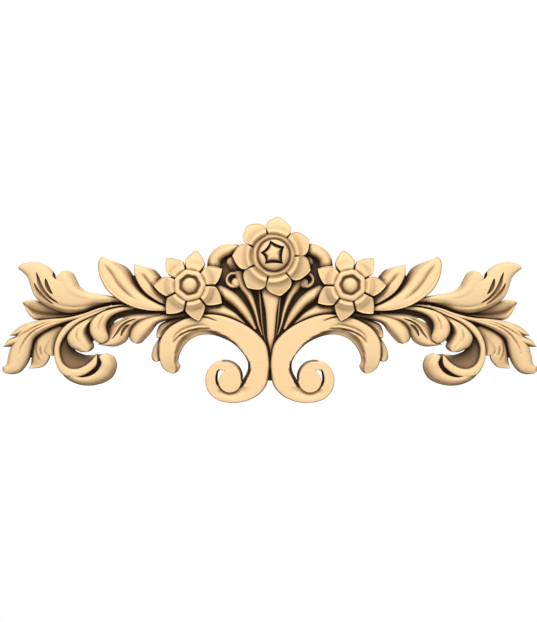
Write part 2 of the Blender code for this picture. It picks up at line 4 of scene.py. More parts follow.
import bmesh
import bpy
import numpy as np
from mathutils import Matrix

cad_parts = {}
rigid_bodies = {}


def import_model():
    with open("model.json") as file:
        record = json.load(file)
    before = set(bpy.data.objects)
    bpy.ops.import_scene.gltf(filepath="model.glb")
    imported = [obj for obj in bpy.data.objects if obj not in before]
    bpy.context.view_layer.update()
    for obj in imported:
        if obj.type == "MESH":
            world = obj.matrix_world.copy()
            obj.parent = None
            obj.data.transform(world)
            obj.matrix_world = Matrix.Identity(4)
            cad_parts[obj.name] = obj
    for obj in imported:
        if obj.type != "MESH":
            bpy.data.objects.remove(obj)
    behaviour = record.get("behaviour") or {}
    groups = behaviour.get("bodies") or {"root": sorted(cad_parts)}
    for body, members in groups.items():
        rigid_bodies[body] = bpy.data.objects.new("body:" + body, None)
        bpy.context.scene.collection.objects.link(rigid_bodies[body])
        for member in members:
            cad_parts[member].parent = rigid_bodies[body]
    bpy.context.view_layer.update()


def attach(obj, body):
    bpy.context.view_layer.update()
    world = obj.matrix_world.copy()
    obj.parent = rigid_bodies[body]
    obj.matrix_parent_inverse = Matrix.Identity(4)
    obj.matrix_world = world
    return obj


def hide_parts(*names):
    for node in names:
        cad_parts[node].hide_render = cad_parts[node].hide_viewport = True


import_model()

# The blank. The applique is carved from one board of pale close-grained wood. Everything on it is raised
# from the same flat back, so each form is a solid that starts behind the back and ends in its carved face.
# The first forms are the ground, the low floor that the cutters leave between the leaves and stems.

# Sizes are millimetres. Across is counted outwards from the middle line, up from the level of the origin,
# and height from the flat back. Every solid reaches the saw allowance behind the back, until it is planed.
MM = 0.001
WIDTH = 536.0
HEIGHT = 186.0
DEPTH = 30.0
SAW_ALLOWANCE = 3.0
TOOL_STEP = 1.0
COLUMN_STEP = 0.85
COLUMN_LIMITS = (6, 34)
CROWDED_SHARE, EVEN_SHARE = 0.55, 0.45
ARRIS = 0.8
LOWEST_FACE = 1.0
POINT_WIDTH = 0.12
LEFT, RIGHT = -1, 1
carved = []
cuts = []


def flowing(stations, rows):
    """Rows at even steps along a Catmull-Rom curve through the stations: between two neighbours a cubic
    whose slope at each is half the step between the stations on either side of it."""
    p = np.asarray(stations, float)
    place = np.linspace(0, len(p) - 1, rows)
    i = np.minimum(place.astype(int), len(p) - 2)
    t = (place - i)[:, None]
    a, b, c, d = p[np.maximum(i - 1, 0)], p[i], p[i + 1], p[np.minimum(i + 2, len(p) - 1)]
    bend = t**2 * (a - 2.5 * b + 2 * c - 0.5 * d)
    return b + t / 2 * (c - a) + bend + t**3 * (1.5 * (b - c) + 0.5 * (d - a))


def evened(stations, step, rows_between=40, fewest_rows=4):
    """The same curve with its rows a step apart, measured along whichever of its two edges is longer. The
    last column added is the station number."""
    fine = flowing(stations, rows_between * len(stations))
    fine = np.column_stack([fine, np.linspace(0, len(stations) - 1, len(fine))])
    first = np.hypot(*np.diff(fine[:, :2], axis=0).T)
    second = np.hypot(*np.diff(fine[:, 2:4], axis=0).T)
    run = np.concatenate([[0], np.cumsum(np.maximum(first, second) + 1e-6)])
    rows = max(int(run[-1] / step), fewest_rows)
    marks = np.linspace(0, run[-1], rows + 1)
    return np.stack([np.interp(marks, run, column) for column in fine.T], 1)


def across_curve(points, across):
    """Height share at each place across: a smooth curve through (place, share) points, read by place."""
    fine = flowing(points, 200)
    return np.interp(across, fine[:, 0], fine[:, 1])


def cut_depth(across, up, gouges):
    """How deep the gouges go at each point. A gouge is (path of (across, up) points, radius, depth). Its
    depth falls to none one radius away, by the power 1.5 of what is left of the radius, and towards its two
    ends, by the power 0.6 of a half sine."""
    depth = np.zeros_like(across)
    for path, radius, deep in gouges:
        line = flowing(path, 24)
        nearest = np.full(across.shape, np.inf)
        share = np.zeros(across.shape)
        run = np.linspace(0, 1, len(line))
        for (u0, z0), (u1, z1), s0, s1 in zip(line, line[1:], run, run[1:]):
            length = max((u1 - u0) ** 2 + (z1 - z0) ** 2, 1e-9)
            along = np.clip(((across - u0) * (u1 - u0) + (up - z0) * (z1 - z0)) / length, 0, 1)
            away = np.hypot(across - u0 - along * (u1 - u0), up - z0 - along * (z1 - z0))
            closer = away < nearest
            nearest = np.where(closer, away, nearest)
            share = np.where(closer, s0 + along * (s1 - s0), share)
        fade = np.sin(np.pi * np.clip(share, 0, 1)) ** 0.6
        depth += deep * fade * np.clip(1 - nearest / radius, 0, 1) ** 1.5
    return depth


def solid_from_face(points):
    """A closed solid from a grid of face points (rows, columns, xyz): walls go straight back from its edges
    to behind the back plane, and one strip closes the back."""
    rows, columns = points.shape[:2]
    back = points[:, [0, -1]].copy()
    back[..., 1] = SAW_ALLOWANCE
    verts = np.concatenate([points.reshape(-1, 3), back.reshape(-1, 3)]) * MM
    face = np.arange(rows * columns).reshape(rows, columns)
    foot = rows * columns + np.arange(rows * 2).reshape(rows, 2)
    quads = [
        np.stack([face[:-1, :-1], face[:-1, 1:], face[1:, 1:], face[1:, :-1]], -1).reshape(-1, 4),
        np.stack([face[:-1, 0], face[1:, 0], foot[1:, 0], foot[:-1, 0]], -1),
        np.stack([face[1:, -1], face[:-1, -1], foot[:-1, 1], foot[1:, 1]], -1),
        np.stack([foot[:-1, 0], foot[1:, 0], foot[1:, 1], foot[:-1, 1]], -1),
    ]
    ends = [[*face[0, ::-1].tolist(), *foot[0].tolist()], [*face[-1].tolist(), *foot[-1, ::-1].tolist()]]
    return verts, np.concatenate(quads).tolist() + ends


def blended(sections, station, across):
    """Height shares for every row and column. Sections are (station number, section) pairs, and a row
    between two of them takes an eased mix of their two curves."""
    curves = np.array([across_curve(section, across) for number, section in sections])
    place = np.interp(station, [number for number, section in sections], np.arange(len(sections)))
    lower = np.minimum(place.astype(int), max(len(sections) - 2, 0))
    upper = np.minimum(lower + 1, len(sections) - 1)
    mix = (place - lower)[:, None]
    mix = mix * mix * (3 - 2 * mix)
    return curves[lower] * (1 - mix) + curves[upper] * mix


def carve(side, stations, sections, gouges=(), step=TOOL_STEP, arris=ARRIS):
    """A leaf, stem or scroll. A station is (first edge across, up, second edge across, up, crest height).
    The face's height is the crest height times the section's share, less the gouge cuts and the rounding of
    its two upper edges. Sections is one section, or (station number, section) pairs. Columns crowd towards
    the edges, and where the edges meet in a point the heading is that of the last row with a breadth."""
    if not isinstance(sections[0][1], tuple):
        sections = ((0, sections),)
    table = evened(stations, step)
    first, second, crest = table[:, :2], table[:, 2:4], table[:, 4]
    over = second - first
    breadth = np.hypot(*over.T)
    wide = breadth > POINT_WIDTH
    heading = over / np.maximum(breadth, 1e-9)[:, None]
    known = np.maximum.accumulate(np.where(wide, np.arange(len(table)), -1))
    known[known < 0] = np.argmax(wide)
    heading = heading[known]
    middle = (first + second) / 2
    breadth = np.maximum(breadth, POINT_WIDTH)
    columns = int(np.clip(breadth.max() / (COLUMN_STEP * step) + 4, *COLUMN_LIMITS))
    crowded = (1 - np.cos(np.linspace(0, np.pi, columns + 1))) / 2
    across = CROWDED_SHARE * crowded + EVEN_SHARE * np.linspace(0, 1, columns + 1)
    flat = middle[:, None] + heading[:, None] * (breadth[:, None, None] * (across[None, :, None] - 0.5))
    height = crest[:, None] * blended(sections, table[:, 5], across)
    height = height - cut_depth(flat[..., 0], flat[..., 1], gouges)
    inset = np.minimum(across, 1 - across)[None] * breadth[:, None]
    height = height - arris * (1 - np.sqrt(1 - (1 - np.clip(inset / arris, 0, 1)) ** 2))
    height = np.maximum(height, LOWEST_FACE)
    carved.append(solid_from_face(np.stack([side * flat[..., 0], -height, flat[..., 1]], -1)))


GROUND_UP = 4.0
LOW_GROUND_UP = 3.0
FLAT = ((0, 1), (0.5, 1), (1, 1))
MIDDLE_GROUND = (
    (-56, 50, 56, 50), (-66, 40, 66, 40), (-76, 20, 76, 20), (-88, 2, 88, 2), (-82, -8, 82, -8),
    (-40, -18, 40, -18), (-14, -34, 14, -34), (-5, -62, 5, -62), (-2.4, -69.5, 2.4, -69.5),
)
SPRAY_GROUND = (
    (75, 12, 75, -8), (105, 8, 100, -7), (135, 8, 128, -8), (150, 11, 148, -4), (172, 9, 168, -10),
    (190, 4, 180, -20), (212, 0, 200, -30), (230, -6, 218, -24),
)
UPRIGHT_GROUND = (
    (100, 0, 93, 12), (118, 4, 103, 19), (131, 12, 109, 28), (138, 21, 117, 35), (142, 29, 126, 37),
    (143, 33, 132, 38),
)
HANGING_GROUND = (
    (160, 2, 164, -4), (166, -8, 180, -8), (168, -14, 190, -16), (172, -24, 196, -28),
    (178, -31, 190, -34),
)
LOBE_GROUND = ((164, -24, 160, -24), (165, -14, 156, -16), (160, -5, 149, -12), (148, -1, 140, -8))
TRAILING_GROUND = (
    (200, -8, 198, -16), (216, -13, 212, -22), (228, -20, 223, -27), (236, -28, 229, -32),
    (240, -38, 233, -40), (240.5, -46, 236, -48),
)
HOOK_GROUND = (
    (175, -43, 167, -43), (176, -50, 165, -51), (178, -57, 167, -60), (184, -61, 177, -68),
    (193, -63, 189, -70),
)
CURLED_LEAF_GROUND = ((51, 45, 46, 57), (40, 45, 36, 59), (28, 46, 26, 59))


def ground(side, edges, up, step=4):
    """A level floor. Each row of edges is (first edge across, up, second edge across, up)."""
    carve(side, [(*row, up) for row in edges], FLAT, step=step)


ground(RIGHT, MIDDLE_GROUND, GROUND_UP, step=6)
for side in (LEFT, RIGHT):
    for edges in (SPRAY_GROUND, UPRIGHT_GROUND):
        ground(side, edges, GROUND_UP)
    for edges in (HANGING_GROUND, LOBE_GROUND, TRAILING_GROUND, HOOK_GROUND):
        ground(side, edges, LOW_GROUND_UP)
    ground(side, CURLED_LEAF_GROUND, GROUND_UP)

# The two C-scrolls. Each runs from a leafy end, up and over, down the middle line and round into a volute
# that ends in a button. Its face is flat, with a long bevel on the inner side and a folded leaf at its end.
VOLUTE_CENTRE = (39.95, -69.7)
BUTTON_RADIUS = 11.4
SCROLL_UP = 20.0
SCROLL_ARM = (
    (95.9, -62.4, 95.9, -62.4, 12), (100, -61.5, 92.4, -60.2, 12.8), (104.3, -59.1, 90.3, -57, 13.6),
    (107.6, -55.6, 89.9, -54, 14.6), (109.7, -50, 91.8, -49.6, 15.6), (110.8, -43, 89.9, -41.8, 16.5),
    (109.8, -30, 85.4, -33.9, 17.0), (102, -17.8, 78.9, -27.8, 17.2), (89, -9.5, 70.9, -24.2, 17.3),
    (75, -5, 63, -23.2, 17.5), (61, -3, 55.1, -24.2, 18.2), (47.5, -4.6, 46.8, -27.0, 19.3),
    (34.5, -9, 38.5, -31.1, 20), (22.5, -15.2, 31, -37.4, 20), (11.5, -23.9, 25.7, -44.1, 20),
    (3.4, -34.5, 22.6, -49.8, 20), (0.6, -50, 21.9, -56, 20), (0.9, -60, 23.6, -62.2, 20),
)
VOLUTE_OUTER = (
    37.8, 32.4, 26.6, 23.1, 21.5, 21.8, 22.9, 23.9, 24.4, 24.6, 24.0, 22.5, 20.6, 18.3, 16.0, 14.0,
    12.3,
)
VOLUTE_INNER = (
    11.9, 11.2, 10.8, 10.4, 10.4, 10.4, 10.8, 11.4, 12.2, 13.3, 14.8, 10.4, 7.0, 5.5, 4.5, 3.5, 3.0,
)
VOLUTE_FACE = (
    (0, 0.86), (0.03, 0.96), (0.08, 1.0), (0.35, 1.0), (0.55, 0.96), (0.75, 0.89), (0.9, 0.83),
    (1, 0.8),
)
CURL_FACE = ((0, 0.25), (0.1, 0.45), (0.19, 0.9), (0.23, 0.99), (0.28, 1.0), (0.5, 1.0), (1, 1.0))
SCROLL_FOLD = (
    ([(95.8, -30.8), (94.4, -25), (89.4, -20.2), (82.8, -16.8), (75.6, -14.6), (68.4, -13.9), (60.8, -15.6)],
     2.6, 2.2),
    ([(96.4, -32.6), (93, -27), (87.6, -22.8), (81.2, -19.9), (74.4, -18.1), (67, -17.2), (59, -17.4)],
     1.6, 4.6),
    ([(74, -4.6), (66.9, -5.5), (59.9, -7.2), (52.4, -10.2)], 1.5, 3.2),
)
BUTTON = (
    (BUTTON_RADIUS, -SAW_ALLOWANCE), (BUTTON_RADIUS, 20.2), (11.2, 20.7), (10.8, 21.0), (9.0, 21.0),
    (1.0, 21.0),
)


def leafy_to(place):
    """A flat face that breaks, at the place given, into a hollowed bevel."""
    return ((0, 0.84), (0.03, 0.94), (0.08, 0.99), (0.3, 1.0), (0.6, 0.995), (place - 0.02, 0.985),
            (place + 0.012, 0.92), (place + 0.05, 0.83), (place + 0.12, 0.75), (1, 0.62))


def flat_to(place, outer=0.82):
    """A flat face that breaks, at the place given, into a steep inner side."""
    return ((0, outer), (0.03, outer + 0.11), (0.07, 0.99), (0.12, 1.0), (0.5, 1.0), (place - 0.02, 1.0),
            (place + 0.012, 0.93), ((1 + place) / 2, 0.68), (1, 0.36))


def cliff_to(place, outer=0.82):
    """A flat face that drops, at the place given, straight to a low ledge."""
    return ((0, outer), (0.03, outer + 0.11), (0.07, 0.99), (0.12, 1.0), (0.5, 1.0), (place - 0.02, 1.0),
            (place + 0.01, 0.93), (place + 0.045, 0.5), (place + 0.08, 0.3), (1, 0.26))


def volute_stations(rows_between=3):
    """The volute's edges on rays from its centre, each radius smooth through its values every sixteenth of a
    turn. From 0.6 to 0.85 of the turn it rises by a millimetre, to the button's level."""
    rows = rows_between * (len(VOLUTE_OUTER) - 1) + 1
    radii = flowing(np.stack([VOLUTE_OUTER, VOLUTE_INNER], 1), rows)
    turned_by = np.linspace(0, math.tau, rows)
    ray = np.stack([np.cos(math.pi + turned_by), np.sin(math.pi + turned_by)], 1)
    outer = VOLUTE_CENTRE + ray * radii[:, :1]
    inner = VOLUTE_CENTRE + ray * radii[:, 1:]
    rise = np.clip(turned_by / math.tau * 4 - 2.4, 0, 1)
    return np.column_stack([outer, inner, SCROLL_UP + rise])


def solid_from_rings(points):
    """A closed solid from rings of points (rings, points of a ring, xyz): every ring is joined to the next,
    and one face closes each end."""
    ring = np.arange(points.shape[0] * points.shape[1]).reshape(points.shape[:2])
    after = np.roll(ring, -1, axis=1)
    quads = np.stack([ring[:-1], after[:-1], after[1:], ring[1:]], -1).reshape(-1, 4)
    return points.reshape(-1, 3) * MM, quads.tolist() + [ring[0, ::-1].tolist(), ring[-1].tolist()]


def turned(side, centre, profile, turns=72, lobes=0, first_lobe_deg=0.0):
    """A round form: a profile carried round the centre. Each of its (radius, height, swell) points swells by
    the cosine of lobes times the turn, and a swell left out is none."""
    profile = np.array([(*point, 0.0)[:3] for point in profile])
    angle = np.linspace(0, math.tau, turns, endpoint=False)
    wave = np.cos(lobes * (angle - math.radians(first_lobe_deg)))
    radius = profile[:, :1] + profile[:, 2:] * wave[None]
    x = side * (centre[0] + radius * np.cos(angle))
    z = centre[1] + radius * np.sin(angle)
    y = np.broadcast_to(-profile[:, 1:2], x.shape)
    carved.append(solid_from_rings(np.stack([x, y, z], -1)))


scroll = np.concatenate([np.array(SCROLL_ARM), volute_stations()])
volute_start = len(SCROLL_ARM)
scroll_sections = (
    (0, leafy_to(0.72)), (3, leafy_to(0.74)), (4, leafy_to(0.79)), (4.6, leafy_to(0.79)),
    (5.2, leafy_to(0.75)), (7, leafy_to(0.7)), (8, leafy_to(0.64)), (9, leafy_to(0.68)),
    (10, flat_to(0.77)), (11, flat_to(0.83)), (12, flat_to(0.88)), (13, flat_to(0.915)),
    (14, flat_to(0.945)), (15, flat_to(0.92)), (16, cliff_to(0.87)), (17, cliff_to(0.825)),
    (volute_start, cliff_to(0.815)), (volute_start + 2, cliff_to(0.85, 0.85)),
    (volute_start + 5, VOLUTE_FACE), (volute_start + 17, VOLUTE_FACE),
    (volute_start + 20, cliff_to(0.86, 0.86)), (volute_start + 27, cliff_to(0.82, 0.84)),
    (volute_start + 31, flat_to(0.92, 0.8)), (volute_start + 34, CURL_FACE),
)
for side in (LEFT, RIGHT):
    carve(side, scroll, scroll_sections, SCROLL_FOLD)
    turned(side, VOLUTE_CENTRE, BUTTON)

# The acanthus sprays. Long leaves leave the stem on either side: a crown leaf with a second lobe, a small
# pointed leaf, a trailing leaf with three tips and an under-leaf with a lobe of its own. The carver rounds
# each over from its raised side and draws fine veins along it with a small gouge.
DOMED = ((0, 0.42), (0.1, 0.68), (0.28, 0.93), (0.5, 1.0), (0.72, 0.93), (0.9, 0.68), (1, 0.42))
CROWN_LEAF = (
    (142, 11, 140, 7, 12.5), (158, 15, 158, 7.7, 13.5), (172.9, 17.1, 173, 4, 14.5),
    (185.7, 19.1, 186, -0.3, 15), (196, 24.5, 201, -2.2, 15.5), (204.5, 29, 216, 1, 15.5),
    (213.4, 31.4, 228, 7, 15), (216, 38.3, 235.6, 15.9, 14.5), (222.7, 44.9, 239.6, 26.2, 14),
    (232, 49.1, 242.4, 34, 13), (242.9, 48.8, 247.8, 39.7, 11.5), (249.6, 46.5, 251, 42, 10.5),
    (251.9, 43.8, 251.9, 43.8, 10),
)
CROWN_ROOT = ((0, 0.66), (0.1, 0.9), (0.26, 1.0), (0.5, 0.96), (0.74, 0.78), (0.9, 0.55), (1, 0.34))
CROWN_FORK = ((0, 0.98), (0.1, 1.0), (0.26, 1.0), (0.5, 0.97), (0.78, 0.87), (0.92, 0.7), (1, 0.5))
CROWN_TIP = ((0, 0.6), (0.08, 0.84), (0.22, 0.98), (0.5, 1.0), (0.8, 0.95), (1, 0.78))
CROWN_LEAF_SECTIONS = (
    (0, CROWN_ROOT), (2, CROWN_ROOT), (3.2, CROWN_FORK), (5.8, CROWN_FORK), (7, CROWN_TIP),
)
CROWN_LEAF_VEINS = (
    ([(220, 11.5), (211, 6.5), (198, 4), (184, 5), (168, 8)], 3.2, 1.1),
    ([(226, 8), (214, 2.5), (204, 0.4), (190, 0.6), (176, 4)], 2.6, 0.9),
)
CROWN_LOBE = (
    (152, 14, 160, 9, 12.5), (169.8, 17.2, 175, 8, 14), (182.5, 19.8, 192, 11, 15.3),
    (189.9, 24.7, 204, 17, 15.8), (193.5, 31.2, 211.5, 25, 15.6), (196.7, 37.1, 214, 32.5, 15),
    (200.3, 40.2, 209.8, 38.2, 14), (204.9, 41, 204.9, 41, 13),
)
LOBE = ((0, 0.5), (0.14, 0.8), (0.4, 1.0), (0.66, 1.0), (0.82, 0.96), (0.92, 0.92), (1, 0.86))
POINTED_LEAF = (
    (180, 2, 180, -2, 6), (210, 2, 210, -6.5, 7), (225, 6.5, 226, -8.5, 8), (235, 11, 236, -8, 8.5),
    (242, 11.3, 242.3, -1.4, 8.5), (247.7, 8.8, 247.7, 8.8, 8),
)
HOLLOW_LEAF = ((0, 0.96), (0.12, 1.0), (0.4, 0.88), (0.6, 0.66), (0.7, 0.78), (0.86, 0.95), (1, 0.8))
TRAILING_LEAF = (
    (138, 7, 138, 5, 10), (152, 6.6, 152, 4.6, 12), (170, 3.5, 170, 0, 12.5), (186, -2, 184, -6, 13),
    (202, -6, 200, -10, 13), (220, -7.5, 214, -15, 13.5), (234, -9.5, 226, -21, 14),
    (246.7, -14.1, 235, -28, 14), (254, -25, 238, -38, 13.5), (259, -35, 240.4, -47.2, 13),
    (261.8, -44, 243.9, -54.1, 12.5), (263.5, -52.7, 248.9, -60.1, 12),
    (267.2, -55, 253.5, -62.4, 11.4), (267.7, -57.6, 257.5, -63.1, 10.8),
    (266.9, -60.3, 262, -62.7, 10.2), (265, -61.9, 265, -61.9, 9.8),
)
TRAILING_ROOT = ((0, 0.66), (0.16, 0.94), (0.34, 1.0), (0.68, 0.95), (0.86, 0.78), (1, 0.4))
TRAILING_TIP = ((0, 0.68), (0.18, 0.94), (0.42, 1.0), (0.76, 0.93), (0.92, 0.78), (1, 0.55))
TRAILING_VEINS = (
    ([(254, -30), (249, -24.5), (242, -20), (234, -15.5), (224, -11.5), (212, -8.5)], 1.6, 1.7),
    ([(250.5, -44), (248.5, -36), (244.5, -29), (239.5, -23), (232, -17.5), (222, -13), (208, -9)],
     1.6, 1.9),
)
TRAILING_UPPER_TIP = (
    (234, -9.5, 240, -19, 13), (246.4, -13.1, 248, -22.5, 12.5), (254.5, -18.3, 253, -24.5, 12),
    (260.7, -24.2, 260.7, -24.2, 10),
)
TRAILING_MIDDLE_TIP = (
    (246, -20, 244, -32, 13), (256, -25.5, 255, -34, 12.5), (262.5, -28.9, 260.9, -35.6, 11.5),
    (267, -35.5, 267, -35.5, 10),
)
UNDER_LEAF = (
    (212, -14, 206, -19, 8), (226, -20, 216, -27, 9), (234, -28, 222, -34, 9.8),
    (237.2, -38, 224.5, -41, 10), (238.6, -47, 220.5, -46.1, 9.8), (239.6, -52.9, 227.7, -55.6, 8.5),
    (241.4, -57.4, 241.4, -57.4, 7),
)
UNDER_LEAF_FACE = ((0, 0.5), (0.1, 0.74), (0.28, 0.94), (0.5, 1.0), (0.8, 1.0), (0.92, 0.96), (1, 0.86))
UNDER_LEAF_VEINS = (
    ([(233, -30), (234, -39), (232.5, -45), (230.5, -50)], 1.5, 1.8),
    ([(229.5, -34.5), (229.5, -40), (227.5, -45)], 1.5, 1.6),
)
UNDER_LOBE = (
    (214, -17, 202, -15, 8), (223, -27, 210, -27, 9), (226, -37, 213, -37, 9.5),
    (224, -43, 214, -43.5, 9.5), (219, -44.5, 219, -44.5, 8.5),
)
UNDER_LOBE_FACE = ((0, 0.9), (0.12, 0.97), (0.35, 1.0), (0.65, 0.97), (0.86, 0.76), (1, 0.46))
for side in (LEFT, RIGHT):
    carve(side, CROWN_LEAF, CROWN_LEAF_SECTIONS, CROWN_LEAF_VEINS)
    carve(side, CROWN_LOBE, LOBE)
    carve(side, POINTED_LEAF, HOLLOW_LEAF)
    carve(side, TRAILING_LEAF, ((0, TRAILING_ROOT), (13, TRAILING_TIP)), TRAILING_VEINS)
    carve(side, TRAILING_UPPER_TIP, DOMED)
    carve(side, TRAILING_MIDDLE_TIP, DOMED)
    carve(side, UNDER_LEAF, UNDER_LEAF_FACE, UNDER_LEAF_VEINS)
    carve(side, UNDER_LOBE, UNDER_LOBE_FACE)

# The hooked scroll of each spray: a rim that turns back on itself, the round roll outside it, and between
# rim and leaves a deep bowl scooped out with a round gouge.
HOOK_RIM = (
    (158, 6.5, 158, 4, 11), (178, -1.5, 174, -3.5, 12), (194, -8, 190, -11, 13),
    (205, -15, 199.5, -19, 13), (212, -25, 206.5, -28, 13), (215.5, -37, 209.7, -38, 13),
    (214.5, -50.2, 207.5, -50, 13), (207.7, -62.7, 201, -56.5, 13), (196, -66, 193, -57.3, 13),
    (186, -64, 186, -54.8, 13), (178, -59, 180, -50.5, 12.5), (173, -53, 176, -46, 12),
    (172.7, -42.5, 172.7, -42.5, 11),
)
RIM = ((0, 0.84), (0.09, 0.96), (0.25, 1.0), (0.65, 1.0), (0.86, 0.93), (1, 0.74))
HOOK_ROLL = (
    (212.5, -55.4, 204, -59, 11.8), (204.8, -66.4, 198, -62, 12.6), (193.3, -72.8, 190, -65.8, 12.6),
    (180, -74.5, 181.5, -65, 12.4), (166.9, -71.8, 174.5, -61.5, 12.6),
    (157.6, -65.8, 170, -56, 13.2), (153.3, -55, 168.5, -51, 14), (156.3, -45.4, 170.5, -45, 13),
    (164, -41.8, 164, -41.8, 10.5),
)
HOOK_ROLL_FACE = (
    (0, 0.38), (0.14, 0.66), (0.35, 0.88), (0.6, 0.99), (0.86, 1.0), (0.95, 0.96), (1, 0.86),
)
HOOK_BOWL = (
    (204, -17, 192, -17, 4.5), (209, -29, 196, -33, 4.8), (211, -41, 195, -39, 5.4),
    (208, -53, 190, -42, 6), (198, -60, 183.8, -43.8, 6.6), (184, -57, 178.1, -43.3, 6.6),
    (172, -44, 172, -44, 5),
)
HOOK_BOWL_FACE = ((0, 1.35), (0.3, 1.0), (0.7, 0.75), (1, 0.7))
for side in (LEFT, RIGHT):
    carve(side, HOOK_RIM, RIM)
    carve(side, HOOK_ROLL, HOOK_ROLL_FACE)
    carve(side, HOOK_BOWL, HOOK_BOWL_FACE)

# The hanging leaves, which curl over one another along the lower side of the stem: an outer and an inner
# leaf, a lobe with gouge slots, a blunt leaf by the scroll, and two bracts that show behind the scroll.
OUTER_HANGING_LEAF = (
    (170, 0, 167, -2, 9), (182, -7, 175, -8, 11), (193, -13, 180, -14, 13),
    (200.5, -20.5, 182, -21, 14), (202.7, -28, 180, -26, 14.5), (199.5, -35, 177.3, -31.1, 14.5),
    (193.5, -38.8, 176.2, -34.6, 14), (189.2, -40.6, 177.2, -37.4, 13.6),
    (185, -40.9, 179.6, -39.4, 13), (182, -40.7, 182, -40.7, 12.4),
)
HANGING_FACE = (
    (0, 0.72), (0.15, 0.92), (0.35, 1.0), (0.5, 0.96), (0.62, 0.98), (0.74, 0.93), (0.86, 0.66),
    (1, 0.25),
)
OUTER_HANGING_VEIN = (
    ([(190.5, -13), (192.5, -19), (193, -26), (190, -31)], 1.5, 1.2),
)
INNER_HANGING_LEAF = (
    (135, 6, 135, 2, 10), (148, 4.5, 148, -0.5, 12), (162, 1.5, 157, -4.5, 13.5),
    (172, -3, 162, -9.5, 14.5), (178.5, -10, 163.7, -15, 15), (180.2, -18, 162.7, -20.5, 15),
    (178, -25, 161.2, -25, 15), (173.4, -30.7, 161.5, -29, 14), (167, -32, 167, -32, 13),
)
INNER_HANGING_FACE = ((0, 0.75), (0.15, 0.93), (0.4, 1.0), (0.7, 0.97), (0.88, 0.88), (1, 0.7))
INNER_HANGING_VEIN = (
    ([(161.5, 0.5), (167.5, -7), (170.5, -15), (170, -20)], 1.6, 1.3),
)
HANGING_LOBE = (
    (110, 0, 110, -5, 8), (125, -1, 122, -8, 9.5), (140, -3, 132, -11, 11), (151, -7.5, 139, -18, 12),
    (158, -13.5, 141, -25, 12), (162, -20, 145.5, -31.3, 11.5), (167, -27, 156, -35.3, 11),
    (172.3, -33.3, 172.3, -33.3, 10),
)
HANGING_LOBE_FACE = ((0, 0.45), (0.2, 0.75), (0.5, 1.0), (0.8, 0.95), (1, 0.62))
BLUNT_LEAF = (
    (76, -1, 76, -6, 5), (88, -1, 88, -7, 8), (105, -2, 102, -9, 9.5), (120, -4.5, 112, -12.5, 11),
    (131, -9, 117.6, -19.4, 11.7), (138.5, -16.5, 122.2, -25, 11.7), (141, -24, 126, -29, 11),
    (140.2, -28, 128.6, -31.4, 10.4), (137.5, -30.8, 132, -32.4, 10),
    (134.8, -32.2, 134.8, -32.2, 9.8),
)
BLUNT_LEAF_FACE = ((0, 0.6), (0.2, 0.85), (0.5, 1.0), (0.75, 0.93), (1, 0.55))
UPPER_BRACT = (
    (80, -3, 80, -10, 7), (97, -7.2, 90, -15, 8), (109.5, -12.5, 100, -21, 8.5),
    (113.5, -20.6, 105, -27, 8.5), (113.5, -26.8, 113.5, -26.8, 8),
)
UPPER_BRACT_VEIN = (
    ([(111, -24.5), (106.5, -19.5), (99.5, -13.5), (89.5, -9)], 1.5, 1.5),
)
LOWER_BRACT = (
    (109, -24, 102, -29, 7), (115.8, -34.3, 106, -36, 8), (118.5, -42.1, 108, -44, 8.5),
    (117.9, -48.4, 109, -49, 8.5), (114, -50.7, 114, -50.7, 8),
)
for side in (LEFT, RIGHT):
    carve(side, OUTER_HANGING_LEAF, HANGING_FACE, OUTER_HANGING_VEIN)
    carve(side, INNER_HANGING_LEAF, INNER_HANGING_FACE, INNER_HANGING_VEIN)
    carve(side, HANGING_LOBE, HANGING_LOBE_FACE)
    carve(side, BLUNT_LEAF, BLUNT_LEAF_FACE)
    carve(side, UPPER_BRACT, DOMED, UPPER_BRACT_VEIN)
    carve(side, LOWER_BRACT, DOMED)

# The upright leaves. Two stand on each side of the bouquet, each with a thin rim left by a fine veining
# tool and a midrib gouged along it.
TALL_LEAF = (
    (90, 2, 90, 7, 14), (107, 0.5, 105, 6, 15), (123, 1, 117, 11.5, 16), (138, 4.5, 127, 19.5, 17),
    (152, 12, 133.5, 29, 17), (162.7, 21.3, 138, 37.5, 17), (169.2, 32.8, 143.3, 44, 16.5),
    (171.4, 43, 153.8, 49.3, 16), (171.1, 50.5, 161.3, 52.1, 15), (167.6, 54.4, 167.6, 54.4, 14.5),
)
SHORT_LEAF = (
    (90, 5, 88, 17, 13), (104, 6.2, 96, 21, 14), (117, 12.8, 103, 28, 16),
    (125.3, 19.5, 108.2, 33.8, 18), (131.7, 28.5, 115, 41.2, 17.5), (135.2, 37.5, 124.6, 44.6, 17),
    (135, 47, 135, 47, 15.5),
)
UPRIGHT_ROOT = (
    (0, 0.84), (0.03, 0.97), (0.08, 0.99), (0.12, 0.95), (0.17, 0.97), (0.4, 0.99), (0.6, 0.97),
    (0.8, 0.88), (0.92, 0.7), (1, 0.45),
)
UPRIGHT_LEAF = (
    (0, 0.84), (0.03, 0.98), (0.08, 1.0), (0.12, 0.95), (0.17, 0.97), (0.28, 0.95), (0.37, 0.88),
    (0.42, 0.81), (0.46, 0.86), (0.53, 0.95), (0.62, 0.96), (0.74, 0.88), (0.84, 0.68), (0.93, 0.36),
    (1, 0.12),
)
UPRIGHT_TIP = (
    (0, 0.84), (0.05, 0.98), (0.1, 1.0), (0.15, 0.95), (0.3, 0.97), (0.5, 0.94), (0.7, 0.9),
    (0.86, 0.82), (1, 0.58),
)
TALL_LEAF_SECTIONS = (
    (0, UPRIGHT_ROOT), (2.6, UPRIGHT_ROOT), (4.2, UPRIGHT_LEAF), (6, UPRIGHT_LEAF),
    (7.8, UPRIGHT_TIP),
)
